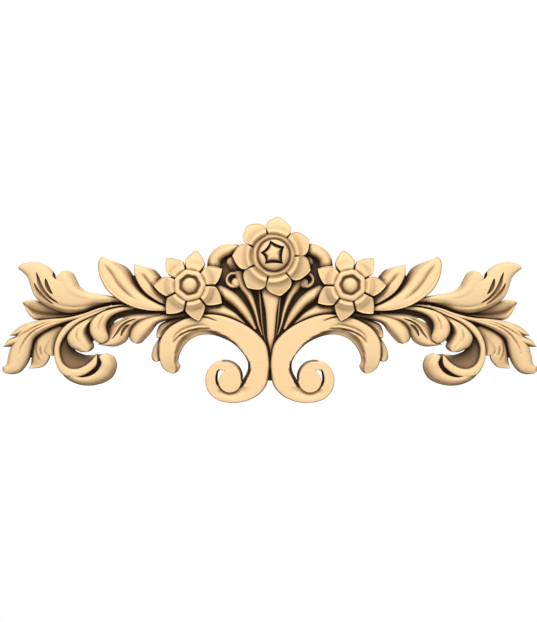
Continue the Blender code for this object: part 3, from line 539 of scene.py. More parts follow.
SHORT_LEAF_SECTIONS = (
    (0, UPRIGHT_ROOT), (1.6, UPRIGHT_ROOT), (2.8, UPRIGHT_LEAF), (3.8, UPRIGHT_LEAF),
    (5, UPRIGHT_TIP),
)
for side in (LEFT, RIGHT):
    carve(side, TALL_LEAF, TALL_LEAF_SECTIONS)
    carve(side, SHORT_LEAF, SHORT_LEAF_SECTIONS)

# The bouquet's stems, which fan up from between the scrolls, with a small tendril and a curled leaf at
# each side. They are rounded rods left standing from the ground, the middle one the thickest.
UPPER_STEM = (
    (60, 17, 58, 28.5, 14), (52, 14.5, 48, 26, 15.5), (45, 10.5, 37.5, 20.3, 16.5),
    (37.5, 5.5, 28.7, 12.3, 16.5), (30.5, -1.8, 20.8, 2.3, 16), (23, -10.5, 16.3, -6.8, 14.5),
    (16, -18.5, 12.8, -17, 12),
)
LOWER_STEM = (
    (72, -4, 66, 12, 13), (60, -4.5, 49, 7.4, 14.5), (47, -6, 40, 2.6, 15), (36, -9.5, 32, -3, 14.5),
    (24, -12.5, 24, -12.5, 13),
)
INNER_STEM = (
    (37, 40, 24, 40, 11), (34, 29, 19.5, 26, 13), (29.5, 21.5, 17.2, 19, 13.8),
    (23.6, 14, 15.2, 13, 14), (16.8, 0, 12, 0, 13.8), (12.7, -14, 9.3, -14, 12),
    (8.6, -24, 6.6, -24, 10),
)
THIN_STEM = (
    (12, 24, 9.5, 24, 15), (10.5, 8, 8.2, 8, 15), (9, -8, 7, -8, 14.5), (7, -22, 5.5, -22, 13),
    (4.5, -32, 3, -32, 11),
)
CURLED_LEAF = (
    (63, 45, 49, 43, 12), (61.8, 52.6, 48, 50, 13), (57, 60.4, 44, 53.5, 14),
    (48.3, 66.2, 39, 55.5, 14.5), (38, 67.6, 32, 57, 14.5), (25, 65, 22, 55, 14),
)
CURLED_LEAF_END = (
    (43.4, 49, 43, 46, 8), (42, 53, 40, 42, 9.6), (37, 55.5, 35, 40, 10.2), (25, 56, 24, 39, 10.2),
)
CURLED_LEAF_END_FACE = ((0, 0.75), (0.1, 0.92), (0.25, 1.0), (0.5, 0.95), (0.75, 0.75), (1, 0.5))
CENTRE_STEM = (
    (-10, 30, 11.5, 30, 18), (-7.5, 16, 9.7, 16, 18), (-4.4, 0, 6.9, 0, 17.5),
    (-3.2, -16, 5.3, -16, 17), (-2.4, -29, 4.1, -29, 15.5), (0.8, -44, 0.8, -44, 12),
)
CENTRE_STEM_FACE = ((0, 0.8), (0.12, 0.93), (0.35, 1.0), (0.65, 1.0), (0.88, 0.93), (1, 0.8))
FINE_STEP = 0.7
FINE_ARRIS = 0.4
TENDRIL_CENTRE = (36.4, 31.0)
TENDRIL_UP = 10.2
TENDRIL_ROWS = 17
TENDRIL_FROM_DEG, TENDRIL_TO_DEG = 250, -110
TENDRIL_OUTER_FROM, TENDRIL_OUTER_TO = 8.6, 8.2
TENDRIL_INNER = ((0, 3.4), (5, 5.0), (11, 4.6), (16, 2.0))
TENDRIL_BAND = ((0, 0.72), (0.14, 0.93), (0.35, 1.0), (0.6, 0.96), (0.85, 0.78), (1, 0.5))
TENDRIL_BALL_CENTRE = (33.6, 28.6)
TENDRIL_BALL = (
    (4.8, -SAW_ALLOWANCE), (4.8, 8.0), (4.5, 9.3), (3.8, 10.3), (2.5, 11.0), (0.5, 11.2),
)


def tendril_stations():
    """The tendril's band, which winds once round its centre. Its outer radius is even from start to end, and
    its inner radius runs straight between (row, radius) points."""
    turn = np.radians(np.linspace(TENDRIL_FROM_DEG, TENDRIL_TO_DEG, TENDRIL_ROWS))
    ray = np.stack([np.cos(turn), np.sin(turn)], 1)
    outer = np.linspace(TENDRIL_OUTER_FROM, TENDRIL_OUTER_TO, TENDRIL_ROWS)[:, None]
    inner = np.interp(np.arange(TENDRIL_ROWS), *np.transpose(TENDRIL_INNER))[:, None]
    height = np.full(TENDRIL_ROWS, TENDRIL_UP)
    return np.column_stack([TENDRIL_CENTRE + outer * ray, TENDRIL_CENTRE + inner * ray, height])


for side in (LEFT, RIGHT):
    for stem in (UPPER_STEM, LOWER_STEM, INNER_STEM):
        carve(side, stem, DOMED)
    carve(side, THIN_STEM, DOMED, arris=FINE_ARRIS)
    carve(side, tendril_stations(), TENDRIL_BAND, step=FINE_STEP, arris=FINE_ARRIS)
    turned(side, TENDRIL_BALL_CENTRE, TENDRIL_BALL, turns=36)
    carve(side, CURLED_LEAF, DOMED)
    carve(side, CURLED_LEAF_END, CURLED_LEAF_END_FACE)
carve(RIGHT, CENTRE_STEM, CENTRE_STEM_FACE)

# The three flowers. Each has seven petals that rise in a rolled lip at the cup and fall towards their tips.
# The side flowers have a round boss in a ring, the centre one a disc with a five-pointed star sunk in it.
# Cup, ring and disc are turned round the flower's own centre, and their edges swell a little at each petal.
PETALS = 7
SIDE_FLOWER_CENTRE = (79.7, 25.3)
SIDE_FLOWER_RADIUS = 36.3
SIDE_PETAL_HALF_WIDTH = 9.8
SIDE_PETAL = (
    (0.38, 0.62), (0.46, 0.755), (0.54, 0.9), (0.6, 0.985), (0.66, 1.0), (0.73, 0.89), (0.81, 0.7),
    (0.88, 0.49), (0.94, 0.27), (1.0, 0.0),
)
SIDE_PETAL_TURNS_DEG = (
    (102.3, 100.3), (153.7, 152.2), (205.2, 208.5), (256.6, 255.4), (308.0, 310.2), (359.4, 360.8),
    (50.9, 49.3),
)
SIDE_PETAL_FALL = (
    (13.0, 24.2), (15.4, 24.4), (16.6, 25.2), (17.8, 25.9), (19.2, 26.0), (20.4, 25.3), (21.6, 24.3),
    (24.0, 23.2), (27.5, 22.2), (32, 21.0), (36.7, 19.5),
)
SIDE_CUP_CENTRE = (79.7, 25.8)
SIDE_CUP = (
    (21.5, -SAW_ALLOWANCE), (21.5, 7.5), (21.0, 8.0), (15.6, 8.2, 0.5), (15.6, 23.8, 0.5),
    (15.4, 25.2, 0.5), (14.9, 26.2, 0.5), (14.0, 26.8, 0.4), (12.4, 27.1, 0.4), (11.3, 27.0, 0.4),
    (10.6, 26.2, 0.4), (10.0, 24.7, 0.35), (9.2, 23.3, 0.3), (8.4, 23.0, 0.2), (7.8, 23.8, 0.1),
    (7.2, 25.2), (6.2, 26.5), (4.7, 27.7), (2.8, 28.4), (1.0, 28.6),
)
CENTRE_FLOWER_CENTRE = (2.8, 54.6)
CENTRE_FLOWER_RADIUS = 40.2
CENTRE_PETAL_HALF_WIDTH = 12.8
CENTRE_PETAL = (
    (0.42, 0.6), (0.5, 0.72), (0.58, 0.84), (0.65, 0.95), (0.71, 1.0), (0.78, 0.95), (0.85, 0.79),
    (0.91, 0.54), (0.96, 0.27), (1.0, 0.0),
)
CENTRE_PETAL_TURNS_DEG = (
    (77.5, 82.4), (128.9, 130.1), (180.4, 179.0), (231.8, 230.8), (283.2, 280.8), (334.6, 339.4),
    (26.1, 25.5),
)
CENTRE_PETAL_FALL = (
    (16.0, 22.0), (20.0, 22.2), (21.6, 22.9), (23.0, 24.7), (24.4, 26.0), (25.8, 26.1), (27.2, 25.1),
    (28.8, 24.1), (32, 22.9), (36, 21.6), (40.4, 19.8),
)
CENTRE_DISC_CENTRE = (4.0, 55.9)
CENTRE_DISC = (
    (28.0, -SAW_ALLOWANCE), (28.0, 7.5), (27.5, 8.0), (21.6, 8.2, 0.5), (21.6, 20.8, 0.5),
    (21.3, 22.1, 0.5), (20.7, 22.9, 0.5), (19.8, 23.5, 0.3), (18.9, 23.8, 0.1), (18.1, 23.7), (17.4, 23.3),
    (16.8, 22.8), (16.2, 22.6), (15.7, 23.3), (15.2, 25.1), (14.3, 26.9), (12.9, 28.1), (11.2, 28.9),
    (9.0, 29.5), (6.0, 29.9), (2.0, 30.0),
)
PETAL_ROW, PETAL_COLUMN = 0.6, 0.62
PETAL_CROWDING = 1.35
PETAL_TIP_WIDTH = 0.06
PETAL_RIM = 0.5
PETAL_HOLLOW = 0.7
PETAL_STAGGER = 0.35
LIP_ENDS, LIP_FADES = 0.62, 0.08
LIP_GROOVE, LIP_GROOVE_WIDTH = 2.4, 1.5
EDGE_FALL = 0.6
RIM_SLOPE = 1.0
TIP_SLANT = 0.75


def petals(side, centre, turns_deg, radius, half_width, outline, fall):
    """Petals. Reach runs from the cup to the tip, and the outline gives the half width at each reach. Height
    follows the fall curve by the distance from the flower's centre, so that the rolled lips lie on a circle.
    A thin rim stands above the face, and a groove parts each lip from its neighbours. A petal turns by two
    angles, one for its body and one for its tip."""
    rows, columns = int(radius * (1 - outline[0][0]) / PETAL_ROW), int(2 * half_width / PETAL_COLUMN)
    reach = np.linspace(outline[0][0], 1, rows + 1)
    edge = flowing(outline, 200)
    half = np.maximum(np.interp(reach, edge[:, 0], edge[:, 1]) * half_width, PETAL_TIP_WIDTH)
    across = np.linspace(-1, 1, columns + 1)
    across = np.sign(across) * (1 - (1 - np.abs(across)) ** PETAL_CROWDING)
    curve = flowing(fall, 300)
    away = np.hypot((reach * radius)[:, None], half[:, None] * across[None])
    crest = np.interp(away, curve[:, 0], curve[:, 1])
    beside = (1 - np.abs(across))[None] * half[:, None]
    from_edge = np.minimum(beside, (1 - reach)[:, None] * radius * TIP_SLANT)
    inside = np.clip((from_edge - PETAL_RIM) / RIM_SLOPE, 0, 1)
    inside = inside * inside * (3 - 2 * inside)
    face = np.clip((away / radius - LIP_ENDS) / LIP_FADES, 0, 1)
    bend = np.clip((reach - 0.5) / 0.5, 0, 1) ** 2
    for index, (body_turn, tip_turn) in enumerate(turns_deg):
        turn = np.radians(body_turn + (tip_turn - body_turn) * bend)
        along = np.stack([np.cos(turn), np.sin(turn)], -1)[:, None]
        over = np.stack([-np.sin(turn), np.cos(turn)], -1)[:, None]
        flat = np.array(centre) + (reach * radius)[:, None, None] * along
        flat = flat + (half[:, None] * across[None])[..., None] * over
        height = crest + PETAL_STAGGER * (index % 3) - PETAL_HOLLOW * face * inside
        height = height - LIP_GROOVE * (1 - face) * (1 - np.clip(beside / LIP_GROOVE_WIDTH, 0, 1)) ** 2
        height = height - EDGE_FALL * (1 - np.clip(from_edge / PETAL_RIM, 0, 1)) ** 2
        carved.append(solid_from_face(np.stack([side * flat[..., 0], -height, flat[..., 1]], -1)))


for side in (LEFT, RIGHT):
    petals(side, SIDE_FLOWER_CENTRE, SIDE_PETAL_TURNS_DEG, SIDE_FLOWER_RADIUS, SIDE_PETAL_HALF_WIDTH,
           SIDE_PETAL, SIDE_PETAL_FALL)
    turned(side, SIDE_CUP_CENTRE, SIDE_CUP, turns=84, lobes=PETALS, first_lobe_deg=128)
petals(RIGHT, CENTRE_FLOWER_CENTRE, CENTRE_PETAL_TURNS_DEG, CENTRE_FLOWER_RADIUS, CENTRE_PETAL_HALF_WIDTH,
       CENTRE_PETAL, CENTRE_PETAL_FALL)
turned(RIGHT, CENTRE_DISC_CENTRE, CENTRE_DISC, turns=98, lobes=PETALS, first_lobe_deg=103.2)

# The star sunk in the centre flower's disc. It is cut with bowed sides between its five tips, a groove all
# round just inside them, and a domed floor. Tips and the middles of the sides take turns in the outline.
STAR = np.array([
    (0.2, 70.6), (7.4, 66.5), (14.6, 64.5), (12.2, 55.9), (13.0, 46.9), (4.1, 48.0), (-5.2, 46.9),
    (-5.0, 53.0), (-9.6, 58.4), (-3.2, 63.4), (0.2, 70.6),
])
STAR_LEVELS = (
    (0.05, 27.6), (0.25, 27.5), (0.45, 27.1), (0.58, 26.4), (0.67, 25.2), (0.75, 23.6), (0.82, 22.1),
    (0.9, 21.2), (0.96, 21.5), (1.0, 24.4), (1.01, 34.0),
)


def star_cutter(rows_on_side=8):
    """The star's cut. Each side bows in along a curve of the second degree from tip to tip, through its
    middle. The whole outline is drawn in towards the star's middle, a (share, height) level at a time."""
    tips, mids, ends = STAR[:-1:2, None], STAR[1::2, None], STAR[2::2, None]
    t = np.linspace(0, 1, rows_on_side + 1)[None, :-1, None]
    outline = tips * (1 - t) * (1 - 2 * t) + mids * 4 * t * (1 - t) + ends * t * (2 * t - 1)
    outline = outline.reshape(-1, 2)
    middle = outline.mean(0)
    rings = np.array([middle + (outline - middle) * share for share, height in STAR_LEVELS])
    y = -np.broadcast_to(np.array([height for share, height in STAR_LEVELS])[:, None], rings.shape[:2])
    return solid_from_rings(np.stack([rings[..., 0], y, rings[..., 1]], -1))


cuts.append(star_cutter())

# The narrow cuts, made last with a thin blade: the gouge slots in the crown leaf and the hanging lobe, the
# slit beside the hanging lobe, which goes right through, and the deep notch under the crown leaf's curl.
CROWN_SLOT_FLOOR = 10.4
LOBE_SLOT_FLOOR = 8.6
RIGHT_THROUGH = -6.0
NOTCH_FLOOR = 3.0
SLOTS = (
    ([(233.5, 39.5), (231.5, 33.5), (230, 28), (227, 21.5), (223, 16.5), (218, 12.3), (210.5, 8)],
     4.4, CROWN_SLOT_FLOOR),
    ([(224, 33), (222.8, 27), (220.5, 21.5), (216.8, 17)], 4.2, CROWN_SLOT_FLOOR),
    ([(235.5, 28.5), (232.5, 22), (228, 16), (223, 11.5), (216, 7)], 3.8, CROWN_SLOT_FLOOR),
    ([(158, -28), (152.5, -21), (148.5, -15.5), (142, -10.5), (133, -7)], 3.4, LOBE_SLOT_FLOOR),
    ([(158, -20), (153, -14), (148, -10), (140, -6.5)], 3.2, LOBE_SLOT_FLOOR),
    ([(149, -25), (147, -20), (143.5, -15.5), (140, -13)], 3.4, LOBE_SLOT_FLOOR),
    ([(156.5, -11.5), (152, -8.7), (147, -6.8)], 1.8, RIGHT_THROUGH),
    ([(215.6, 43), (216.2, 38), (215.4, 34.6), (213.2, 31.6)], 2.2, NOTCH_FLOOR),
)
SLOT_ROWS = 18
SLOT_END = 0.005
ABOVE_ALL = DEPTH + 1


def slot(side, path, width, floor):
    """A slot. Its mouth is the path widened by a half sine to the power 0.7, and its floor is a keel. A
    level is (share of the width, height)."""
    line = flowing(path, SLOT_ROWS)
    heading = np.gradient(line, axis=0)
    heading /= np.hypot(*heading.T)[:, None]
    normal = np.stack([-heading[:, 1], heading[:, 0]], 1)
    swell = np.maximum(np.sin(np.linspace(0, np.pi, SLOT_ROWS)), SLOT_END)[:, None] ** 0.7
    half = width / 2 * swell
    levels = ((1.0, ABOVE_ALL), (1.0, floor + 2.4), (0.5, floor + 0.6), (0.08, floor))
    left = [np.column_stack([line + normal * half * share, np.full(SLOT_ROWS, up)]) for share, up in levels]
    right = [np.column_stack([line - normal * half * share, np.full(SLOT_ROWS, up)])
             for share, up in levels[::-1]]
    loop = np.stack(left + right, 1)
    return solid_from_rings(np.stack([side * loop[..., 0], -loop[..., 2], loop[..., 1]], -1))


for side in (LEFT, RIGHT):
    for path, width, floor in SLOTS:
        cuts.append(slot(side, path, width, floor))

# The plane stroke that leaves the back flat: a block that reaches past the board on every side.
PAST_THE_BOARD = 10
PLANE_REACH = 20.0
BLOCK_FACES = [[0, 1, 3, 2], [4, 6, 7, 5], [0, 4, 5, 1], [2, 3, 7, 6], [0, 2, 6, 4], [1, 5, 7, 3]]
half_wide, half_high = WIDTH / 2 + PAST_THE_BOARD, HEIGHT / 2 + PAST_THE_BOARD
block_sides = (-half_wide, half_wide), (0.0, PLANE_REACH), (-half_high, half_high)
plane_corners = np.meshgrid(*block_sides, indexing="ij")
cuts.append((np.stack(plane_corners, -1).reshape(-1, 3) * MM, BLOCK_FACES))

# The carving. All the forms are joined into one piece of wood and the cuts are taken out of it. The mesh is
# then thinned, which takes most from the flat back and the straight walls.
THINNING = 0.635
CREASE_DEG = 32


def vertex_points(mesh):
    """The place of every vertex."""
    points = np.empty(len(mesh.vertices) * 3)
    mesh.vertices.foreach_get("co", points)
    return points.reshape(-1, 3)


def triangle_corners(mesh):
    """The three vertex numbers of every triangle."""
    mesh.calc_loop_triangles()
    corners = np.empty(len(mesh.loop_triangles) * 3, dtype=np.int64)
    mesh.loop_triangles.foreach_get("vertices", corners)
    return corners.reshape(-1, 3)


def closed_object(name, verts, faces):
    """An object with a closed mesh, turned inside out where its signed volume, the sum of the corners'
    triple products, comes out negative."""
    mesh = bpy.data.meshes.new(name)
    mesh.from_pydata(verts, [], faces)
    mesh.validate()
    a, b, c = vertex_points(mesh)[triangle_corners(mesh)].transpose(1, 0, 2)
    if np.einsum("ij,ij->i", a, np.cross(b, c)).sum() < 0:
        mesh.flip_normals()
    return bpy.data.objects.new(name, mesh)


def joined(base, solids, name, operation):
    """The base with every solid united with it or cut from it by one Boolean modifier."""
    group = bpy.data.collections.new(name)
    for index, (verts, faces) in enumerate(solids):
        group.objects.link(closed_object(f"{name}_{index}", verts, faces))
    modifier = base.modifiers.new(name, "BOOLEAN")
    modifier.operation = operation
    modifier.operand_type = "COLLECTION"
    modifier.collection = group
    modifier.solver = "MANIFOLD"
    return group


def without_fins(mesh):
    """Deletes what thinning leaves over: pairs of faces folded flat on each other, and faces with an open
    edge. Edges and faces are told apart by one number each, made from their vertex numbers in order."""
    corners = np.sort(triangle_corners(mesh), axis=1)
    count = len(mesh.vertices)
    faces = (corners[:, 0] * count + corners[:, 1]) * count + corners[:, 2]
    face, times = np.unique(faces, return_inverse=True, return_counts=True)[1:]
    edges = corners[:, [0, 0, 1]] * count + corners[:, [1, 2, 2]]
    edge, used = np.unique(edges.ravel(), return_inverse=True, return_counts=True)[1:]
    spare = (times[face] > 1) | (used[edge].reshape(-1, 3) == 1).any(axis=1)
    shape = bmesh.new()
    shape.from_mesh(mesh)
    shape.faces.ensure_lookup_table()
    bmesh.ops.delete(shape, geom=[shape.faces[i] for i in np.flatnonzero(spare)], context="FACES")
    shape.to_mesh(mesh)
    shape.free()


applique = closed_object("floral_applique_carving", *carved[0])
bpy.context.scene.collection.objects.link(applique)
raised = joined(applique, carved[1:], "raised", "UNION")
sunk = joined(applique, cuts, "sunk", "DIFFERENCE")
thinned = applique.modifiers.new("thinned", "DECIMATE")
thinned.ratio = THINNING
thinned.use_collapse_triangulate = True
whole = bpy.data.meshes.new_from_object(applique.evaluated_get(bpy.context.evaluated_depsgraph_get()))
applique.modifiers.clear()
applique.data = whole
whole.name = "floral_applique_carving"
for group in (raised, sunk):
    for obj in list(group.objects):
        bpy.data.objects.remove(obj, do_unlink=True)
    bpy.data.collections.remove(group)
without_fins(whole)
whole.shade_smooth()
whole.set_sharp_from_angle(angle=math.radians(CREASE_DEG))

# Painted shade in the hollows: the colour is darkened where shade falls. It is darkest where the carving
# lies below what is round it, on the floor between the leaves, and in narrow clefts. Each is worked out from
# a map of the surface's heights and kept on the mesh as an attribute.
CELL = 0.8
MAP_MARGIN = 30
SPOTS = 4
# A hollow is (spread of the bell, depth below the average for full painted shade, share of the light it
# takes).
SHADED_HOLLOWS = ((1.2, 2.2, 0.6), (2.6, 4.5, 0.65), (6.0, 6.5, 0.5), (12.0, 9.0, 0.22))
FLOOR_FROM, FLOOR_FADE, FLOOR_SHARE = 11.0, 7.0, 0.85
INLAND_SPREAD, INLAND_FROM, INLAND_FADE = 4.0, 0.64, 0.25
CLEFT_REACH, CLEFT_FROM, CLEFT_FADE = 3.2, 0.58, 0.16
CLEFT_BELOW, CLEFT_DEPTH, CLEFT_SHARE = 1.6, 6.5, 0.8


def surface_map(points, corners):
    """Heights over a grid of cells, each the highest carved point in it, read from spots on every triangle
    that divide its sides evenly."""
    steps = [(i / SPOTS, j / SPOTS) for i in range(SPOTS + 1) for j in range(SPOTS + 1 - i)]
    a, b, c = points[corners].transpose(1, 0, 2)
    wide, high = int((WIDTH + 2 * MAP_MARGIN) / CELL), int((HEIGHT + 2 * MAP_MARGIN) / CELL)
    heights = np.zeros((high, wide))
    for i, j in steps:
        spot = a * (1 - i - j) + b * i + c * j
        column = np.clip(((spot[:, 0] + WIDTH / 2 + MAP_MARGIN) / CELL).astype(int), 0, wide - 1)
        row = np.clip(((spot[:, 2] + HEIGHT / 2 + MAP_MARGIN) / CELL).astype(int), 0, high - 1)
        np.maximum.at(heights, (row, column), -spot[:, 1])
    return heights


def softened(heights, spread):
    """The map averaged by a round bell of the given spread, worked out in the frequency plane."""
    rows, columns = heights.shape
    turn = np.exp(-2 * (np.pi * spread / CELL) ** 2 * (
        np.fft.fftfreq(rows)[:, None] ** 2 + np.fft.rfftfreq(columns)[None] ** 2))
    return np.fft.irfft2(np.fft.rfft2(heights) * turn, heights.shape)


def highest_near(heights, reach):
    """The highest cell within the reach of each, along the rows and then along the columns."""
    cells = int(reach / CELL)
    for axis in (0, 1):
        heights = np.max([np.roll(heights, shift, axis) for shift in range(-cells, cells + 1)], axis=0)
    return heights


def read_map(heights, points):
    """The map's value under each point, linear between the four nearest cells."""
    column = np.clip((points[:, 0] + WIDTH / 2 + MAP_MARGIN) / CELL - 0.5, 0, heights.shape[1] - 1.001)
    row = np.clip((points[:, 2] + HEIGHT / 2 + MAP_MARGIN) / CELL - 0.5, 0, heights.shape[0] - 1.001)
    c0, r0 = column.astype(int), row.astype(int)
    fc, fr = column - c0, row - r0
    low = heights[r0, c0] * (1 - fc) + heights[r0, c0 + 1] * fc
    high = heights[r0 + 1, c0] * (1 - fc) + heights[r0 + 1, c0 + 1] * fc
    return low * (1 - fr) + high * fr


def keep_on_mesh(mesh, name, domain, values):
    """Stores one number for each vertex or face corner as an attribute."""
    attribute = mesh.attributes.new(name, "FLOAT", domain)
    attribute.data.foreach_set("value", values.astype(np.float32))


points = vertex_points(whole) * 1000
heights = surface_map(points, triangle_corners(whole))
above = -points[:, 1]
open_to_light = 1.0
for spread, full_depth, share in SHADED_HOLLOWS:
    below = read_map(softened(heights, spread), points) - above
    open_to_light = open_to_light * (1 - share * np.clip(below / full_depth, 0, 1))
wood_near = read_map(softened((heights > 0.5).astype(float), INLAND_SPREAD), points)
inland = np.clip((wood_near - INLAND_FROM) / INLAND_FADE, 0, 1)
on_floor = np.clip((FLOOR_FROM - above) / FLOOR_FADE, 0, 1) * inland
summit = read_map(highest_near(heights, CLEFT_REACH), points)
filled = read_map(softened(heights, CLEFT_REACH), points) / np.maximum(summit, 1.0)
in_cleft = np.clip((filled - CLEFT_FROM) / CLEFT_FADE, 0, 1)
in_cleft = in_cleft * np.clip((summit - above - CLEFT_BELOW) / CLEFT_DEPTH, 0, 1)
# Painted shade: how far each point is darkened to stand in for the shade in hollows, on the floor and in
# clefts.
hollow_shade = 1 - open_to_light * (1 - FLOOR_SHARE * on_floor) * (1 - CLEFT_SHARE * in_cleft)
hollow_shade[above < 0.01] = 0
keep_on_mesh(whole, "hollow_shade", "POINT", hollow_shade)

# Painted shade on side walls. Light is painted as coming from the outer side of each half, and to the centre
# flower from its left, so walls and faces that lean away from there are painted a little darker than the
# others.
FLOWER_REACH = 41
WALL_STARTS, WALL_FADES = 0.7, 0.5
WALL_SHADE, WALL_FROM_TOP, WALL_FROM_SIDE = 0.42, 0.9, 0.75
LEAN_SHADE, LEAN_FROM_TOP, LEAN_FROM_SIDE, LEAN_SHARE = 0.05, 0.5, 0.85, 0.65
facing = np.empty(len(whole.loops) * 3)
whole.corner_normals.foreach_get("vector", facing)
facing_x, facing_y, facing_z = facing.reshape(-1, 3).T
corner_vertex = np.empty(len(whole.loops), dtype=np.int64)
whole.loops.foreach_get("vertex_index", corner_vertex)
corner_x, _, corner_z = points[corner_vertex].T
from_flower = np.hypot(corner_x - CENTRE_FLOWER_CENTRE[0], corner_z - CENTRE_FLOWER_CENTRE[1])
lit_from = np.where(from_flower < FLOWER_REACH, -1, np.sign(corner_x))
away_from_light = WALL_SHADE - WALL_FROM_TOP * facing_z - WALL_FROM_SIDE * facing_x * lit_from
upright = np.clip((WALL_STARTS + facing_y) / WALL_FADES, 0, 1)
side_shade = upright * np.clip(away_from_light, 0, 1) * (facing_y < 0.5)
leaning = -LEAN_FROM_TOP * facing_z - LEAN_FROM_SIDE * facing_x * lit_from - LEAN_SHADE
leaning = np.clip(leaning, 0, 1) * (facing_y < 0)
# Painted shade for walls and faces turned away from the painted light, kept for each face corner.
keep_on_mesh(whole, "side_shade", "CORNER", np.maximum(side_shade, LEAN_SHARE * leaning))

# The wood's finish: bare pale wood with a satin face and fine grain along the board. Painted shade makes it
# warmer and darker in the hollows and all but black in the clefts. The relief of the grain is a fraction of
# a millimetre.
PALE = (0.86, 0.61, 0.33, 1)
WARM = (0.82, 0.565, 0.3, 1)
# The brown and near-black colours below are painted shade, not colours of the wood.
SHADE_BROWN = (0.42, 0.25, 0.122, 1)
SHADE = (0.02, 0.012, 0.007, 1)
GRAIN_STRETCH = (3, 60, 60)
GRAIN = {"Scale": 6.0, "Detail": 6.0, "Roughness": 0.6}
PATCHES = {"Scale": 16.0, "Detail": 3.0}
GRAIN_RELIEF = {"Strength": 0.12, "Distance": 0.0006}
GRAIN_SHARE, PATCH_SHARE = 0.6, 0.4
SIDE_SHADE_STRENGTH = 0.7
SHADE_BROWN_STRENGTH, SHADE_POWER = 1.4, 2.2
SMOOTHEST, GRAIN_ROUGHNESS, HOLLOW_ROUGHNESS = 0.52, 0.12, 0.2
SPECULAR = 0.15


class Value:
    """A shader socket that can be added, taken away, multiplied and raised to a power, each adding a Math
    node."""

    def __init__(self, material, socket):
        self.material, self.socket = material, socket

    def math(self, operation, other, swapped=False):
        pair = (other, self) if swapped else (self, other)
        return self.material.node("ShaderNodeMath", {"operation": operation}, dict(enumerate(pair)))[0]

    def __add__(self, other):
        return self.math("ADD", other)

    def __radd__(self, other):
        return self.math("ADD", other, True)

    def __sub__(self, other):
        return self.math("SUBTRACT", other)

    def __rsub__(self, other):
        return self.math("SUBTRACT", other, True)

    def __mul__(self, other):
        return self.math("MULTIPLY", other)

    def __rmul__(self, other):
        return self.math("MULTIPLY", other, True)

    def __pow__(self, other):
        return self.math("POWER", other)


class Finish:
    """A material under construction. Its uniform values go straight on its shader's own sockets."""

    def __init__(self, name, uniform):
        self.data = bpy.data.materials.new(name)
        self.data.use_nodes = True
        self.nodes, self.links = self.data.node_tree.nodes, self.data.node_tree.links
        self.shader = self.nodes["Principled BSDF"]
        for socket, value in uniform.items():
            self.fill(self.shader.inputs[socket], value)

    def fill(self, socket, value):
        """Links a Value to the socket, or sets a number or colour on it."""
        if isinstance(value, Value):
            self.links.new(value.socket, socket)
        else:
            socket.default_value = value

    def node(self, kind, settings=(), sockets=()):
        """A node of the given type: its settings first, then its sockets, and its outputs in return."""
        made = self.nodes.new(kind)
        for key, value in dict(settings).items():
            setattr(made, key, value)
        for key, value in dict(sockets).items():
            self.fill(made.inputs[key], value)
        return [Value(self, socket) for socket in made.outputs]

    def blend(self, share, first, second):
        """A colour between two, by a Mix node."""
        return self.node("ShaderNodeMix", {"data_type": "RGBA"}, {0: share, 6: first, 7: second})[2]

    def attribute(self, name):
        """The number that the mesh keeps under this name."""
        return self.node("ShaderNodeAttribute", {"attribute_name": name})[2]


wood = Finish("carved_wood", {"Specular IOR Level": SPECULAR})
place = wood.node("ShaderNodeTexCoord")[3]
# The two attributes hold painted shade: in the hollows, and on walls and faces turned away from the light.
hollow_shade_share, side_shade_share = wood.attribute("hollow_shade"), wood.attribute("side_shade")
grain_place = wood.node("ShaderNodeMapping", {}, {0: place, "Scale": GRAIN_STRETCH})[0]
grain = wood.node("ShaderNodeTexNoise", {}, {0: grain_place, **GRAIN})[0]
patch = wood.node("ShaderNodeTexNoise", {}, {0: place, **PATCHES})[0]
board = wood.blend(grain * GRAIN_SHARE + patch * PATCH_SHARE, PALE, WARM)
# Painted shade: the hollow and side-wall masks darken the wood to brown and then almost to black.
painted_shade = 1 - (1 - hollow_shade_share) * (1 - side_shade_share * SIDE_SHADE_STRENGTH)
shaded_colour = wood.blend(painted_shade**SHADE_POWER, wood.blend(painted_shade * SHADE_BROWN_STRENGTH, board, SHADE_BROWN), SHADE)
roughness = SMOOTHEST + grain * GRAIN_ROUGHNESS + hollow_shade_share * HOLLOW_ROUGHNESS
wood.fill(wood.shader.inputs["Base Color"], shaded_colour)
wood.fill(wood.shader.inputs["Roughness"], roughness)
relief = wood.node("ShaderNodeBump", {}, {**GRAIN_RELIEF, "Height": grain})[0]
wood.fill(wood.shader.inputs["Normal"], relief)
whole.materials.clear()
whole.materials.append(wood.data)

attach(applique, "root")
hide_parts("floral_applique")

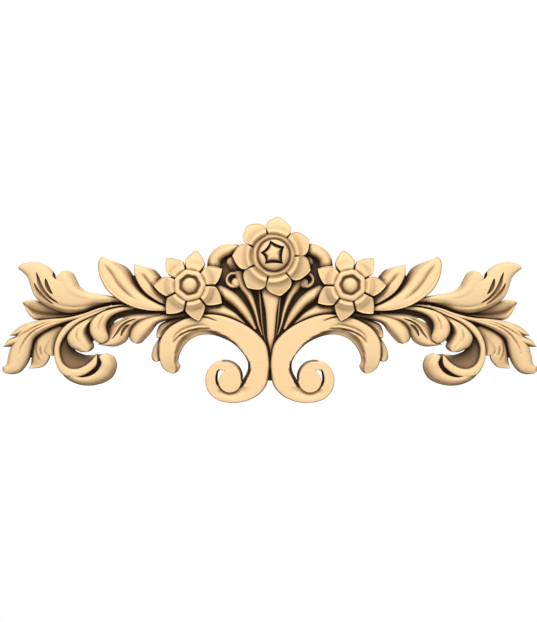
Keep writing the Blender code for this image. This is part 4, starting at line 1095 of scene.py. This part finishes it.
# The studio: a pale floor below, soft lights above, in front and behind, and a white surround that is
# brighter to the camera than it is to the carving.
FLOOR_REACH = 0.8
FLOOR_UP = -1.2
FLOOR_COLOUR = (0.85, 0.85, 0.85, 1)
FLOOR_ROUGHNESS = 0.8
SURROUND_LIGHT, SURROUND_SEEN = 0.1, 1.0
signs = ((-1, -1), (1, -1), (1, 1), (-1, 1))
floor_corners = [(x * FLOOR_REACH, y * FLOOR_REACH, FLOOR_UP) for x, y in signs]
floor_mesh = bpy.data.meshes.new("floor")
floor_mesh.from_pydata(floor_corners, [], [(0, 1, 2, 3)])
floor = bpy.data.objects.new("floor", floor_mesh)
bpy.context.scene.collection.objects.link(floor)
paint = Finish("pale_floor", {"Base Color": FLOOR_COLOUR, "Roughness": FLOOR_ROUGHNESS})
floor_mesh.materials.append(paint.data)

world = bpy.data.worlds.new("surround")
world.use_nodes = True
bpy.context.scene.world = world
background = world.node_tree.nodes["Background"]
seen = world.node_tree.nodes.new("ShaderNodeLightPath")
strength = world.node_tree.nodes.new("ShaderNodeMapRange")
strength.inputs["To Min"].default_value = SURROUND_LIGHT
strength.inputs["To Max"].default_value = SURROUND_SEEN
world.node_tree.links.new(seen.outputs["Is Camera Ray"], strength.inputs["Value"])
world.node_tree.links.new(strength.outputs["Result"], background.inputs["Strength"])
background.inputs["Color"].default_value = (1, 1, 1, 1)


def soft_light(name, place, size, watts):
    """A square lamp of the given side, turned towards the origin."""
    lamp = bpy.data.lights.new(name, "AREA")
    lamp.size = size
    lamp.energy = watts
    obj = bpy.data.objects.new(name, lamp)
    obj.location = place
    obj.rotation_mode = "QUATERNION"
    obj.rotation_quaternion = (-obj.location).to_track_quat("-Z", "Y")
    bpy.context.scene.collection.objects.link(obj)


soft_light("top_light", (0, -1.55, 1.45), 1.4, 52)
soft_light("front_light", (0, -2.8, 0.2), 0.6, 25)
soft_light("back_light", (0, 1.8, 1.2), 1.2, 18)

# The camera, a long way off and square to the carving's face, as in the photo. The picture is 1 mm to a
# pixel at the level of the face, times the picture's scale.
CAMERA_AWAY = 2.6
CAMERA_ASIDE, CAMERA_UP = -0.0014, 0.0003
FACE_LEVEL = 0.014
PICTURE_HIGH = 0.622
PICTURE_SCALE = 1.002
SENSOR = 36
camera_data = bpy.data.cameras.new("camera")
camera_data.sensor_width = SENSOR
camera_data.lens = SENSOR * CAMERA_AWAY / PICTURE_HIGH * PICTURE_SCALE
camera = bpy.data.objects.new("camera", camera_data)
camera.location = (CAMERA_ASIDE, -CAMERA_AWAY - FACE_LEVEL, CAMERA_UP)
camera.rotation_euler = (math.radians(90), 0, 0)
bpy.context.scene.collection.objects.link(camera)
bpy.context.scene.camera = camera
bpy.context.scene.view_settings.view_transform = "Standard"
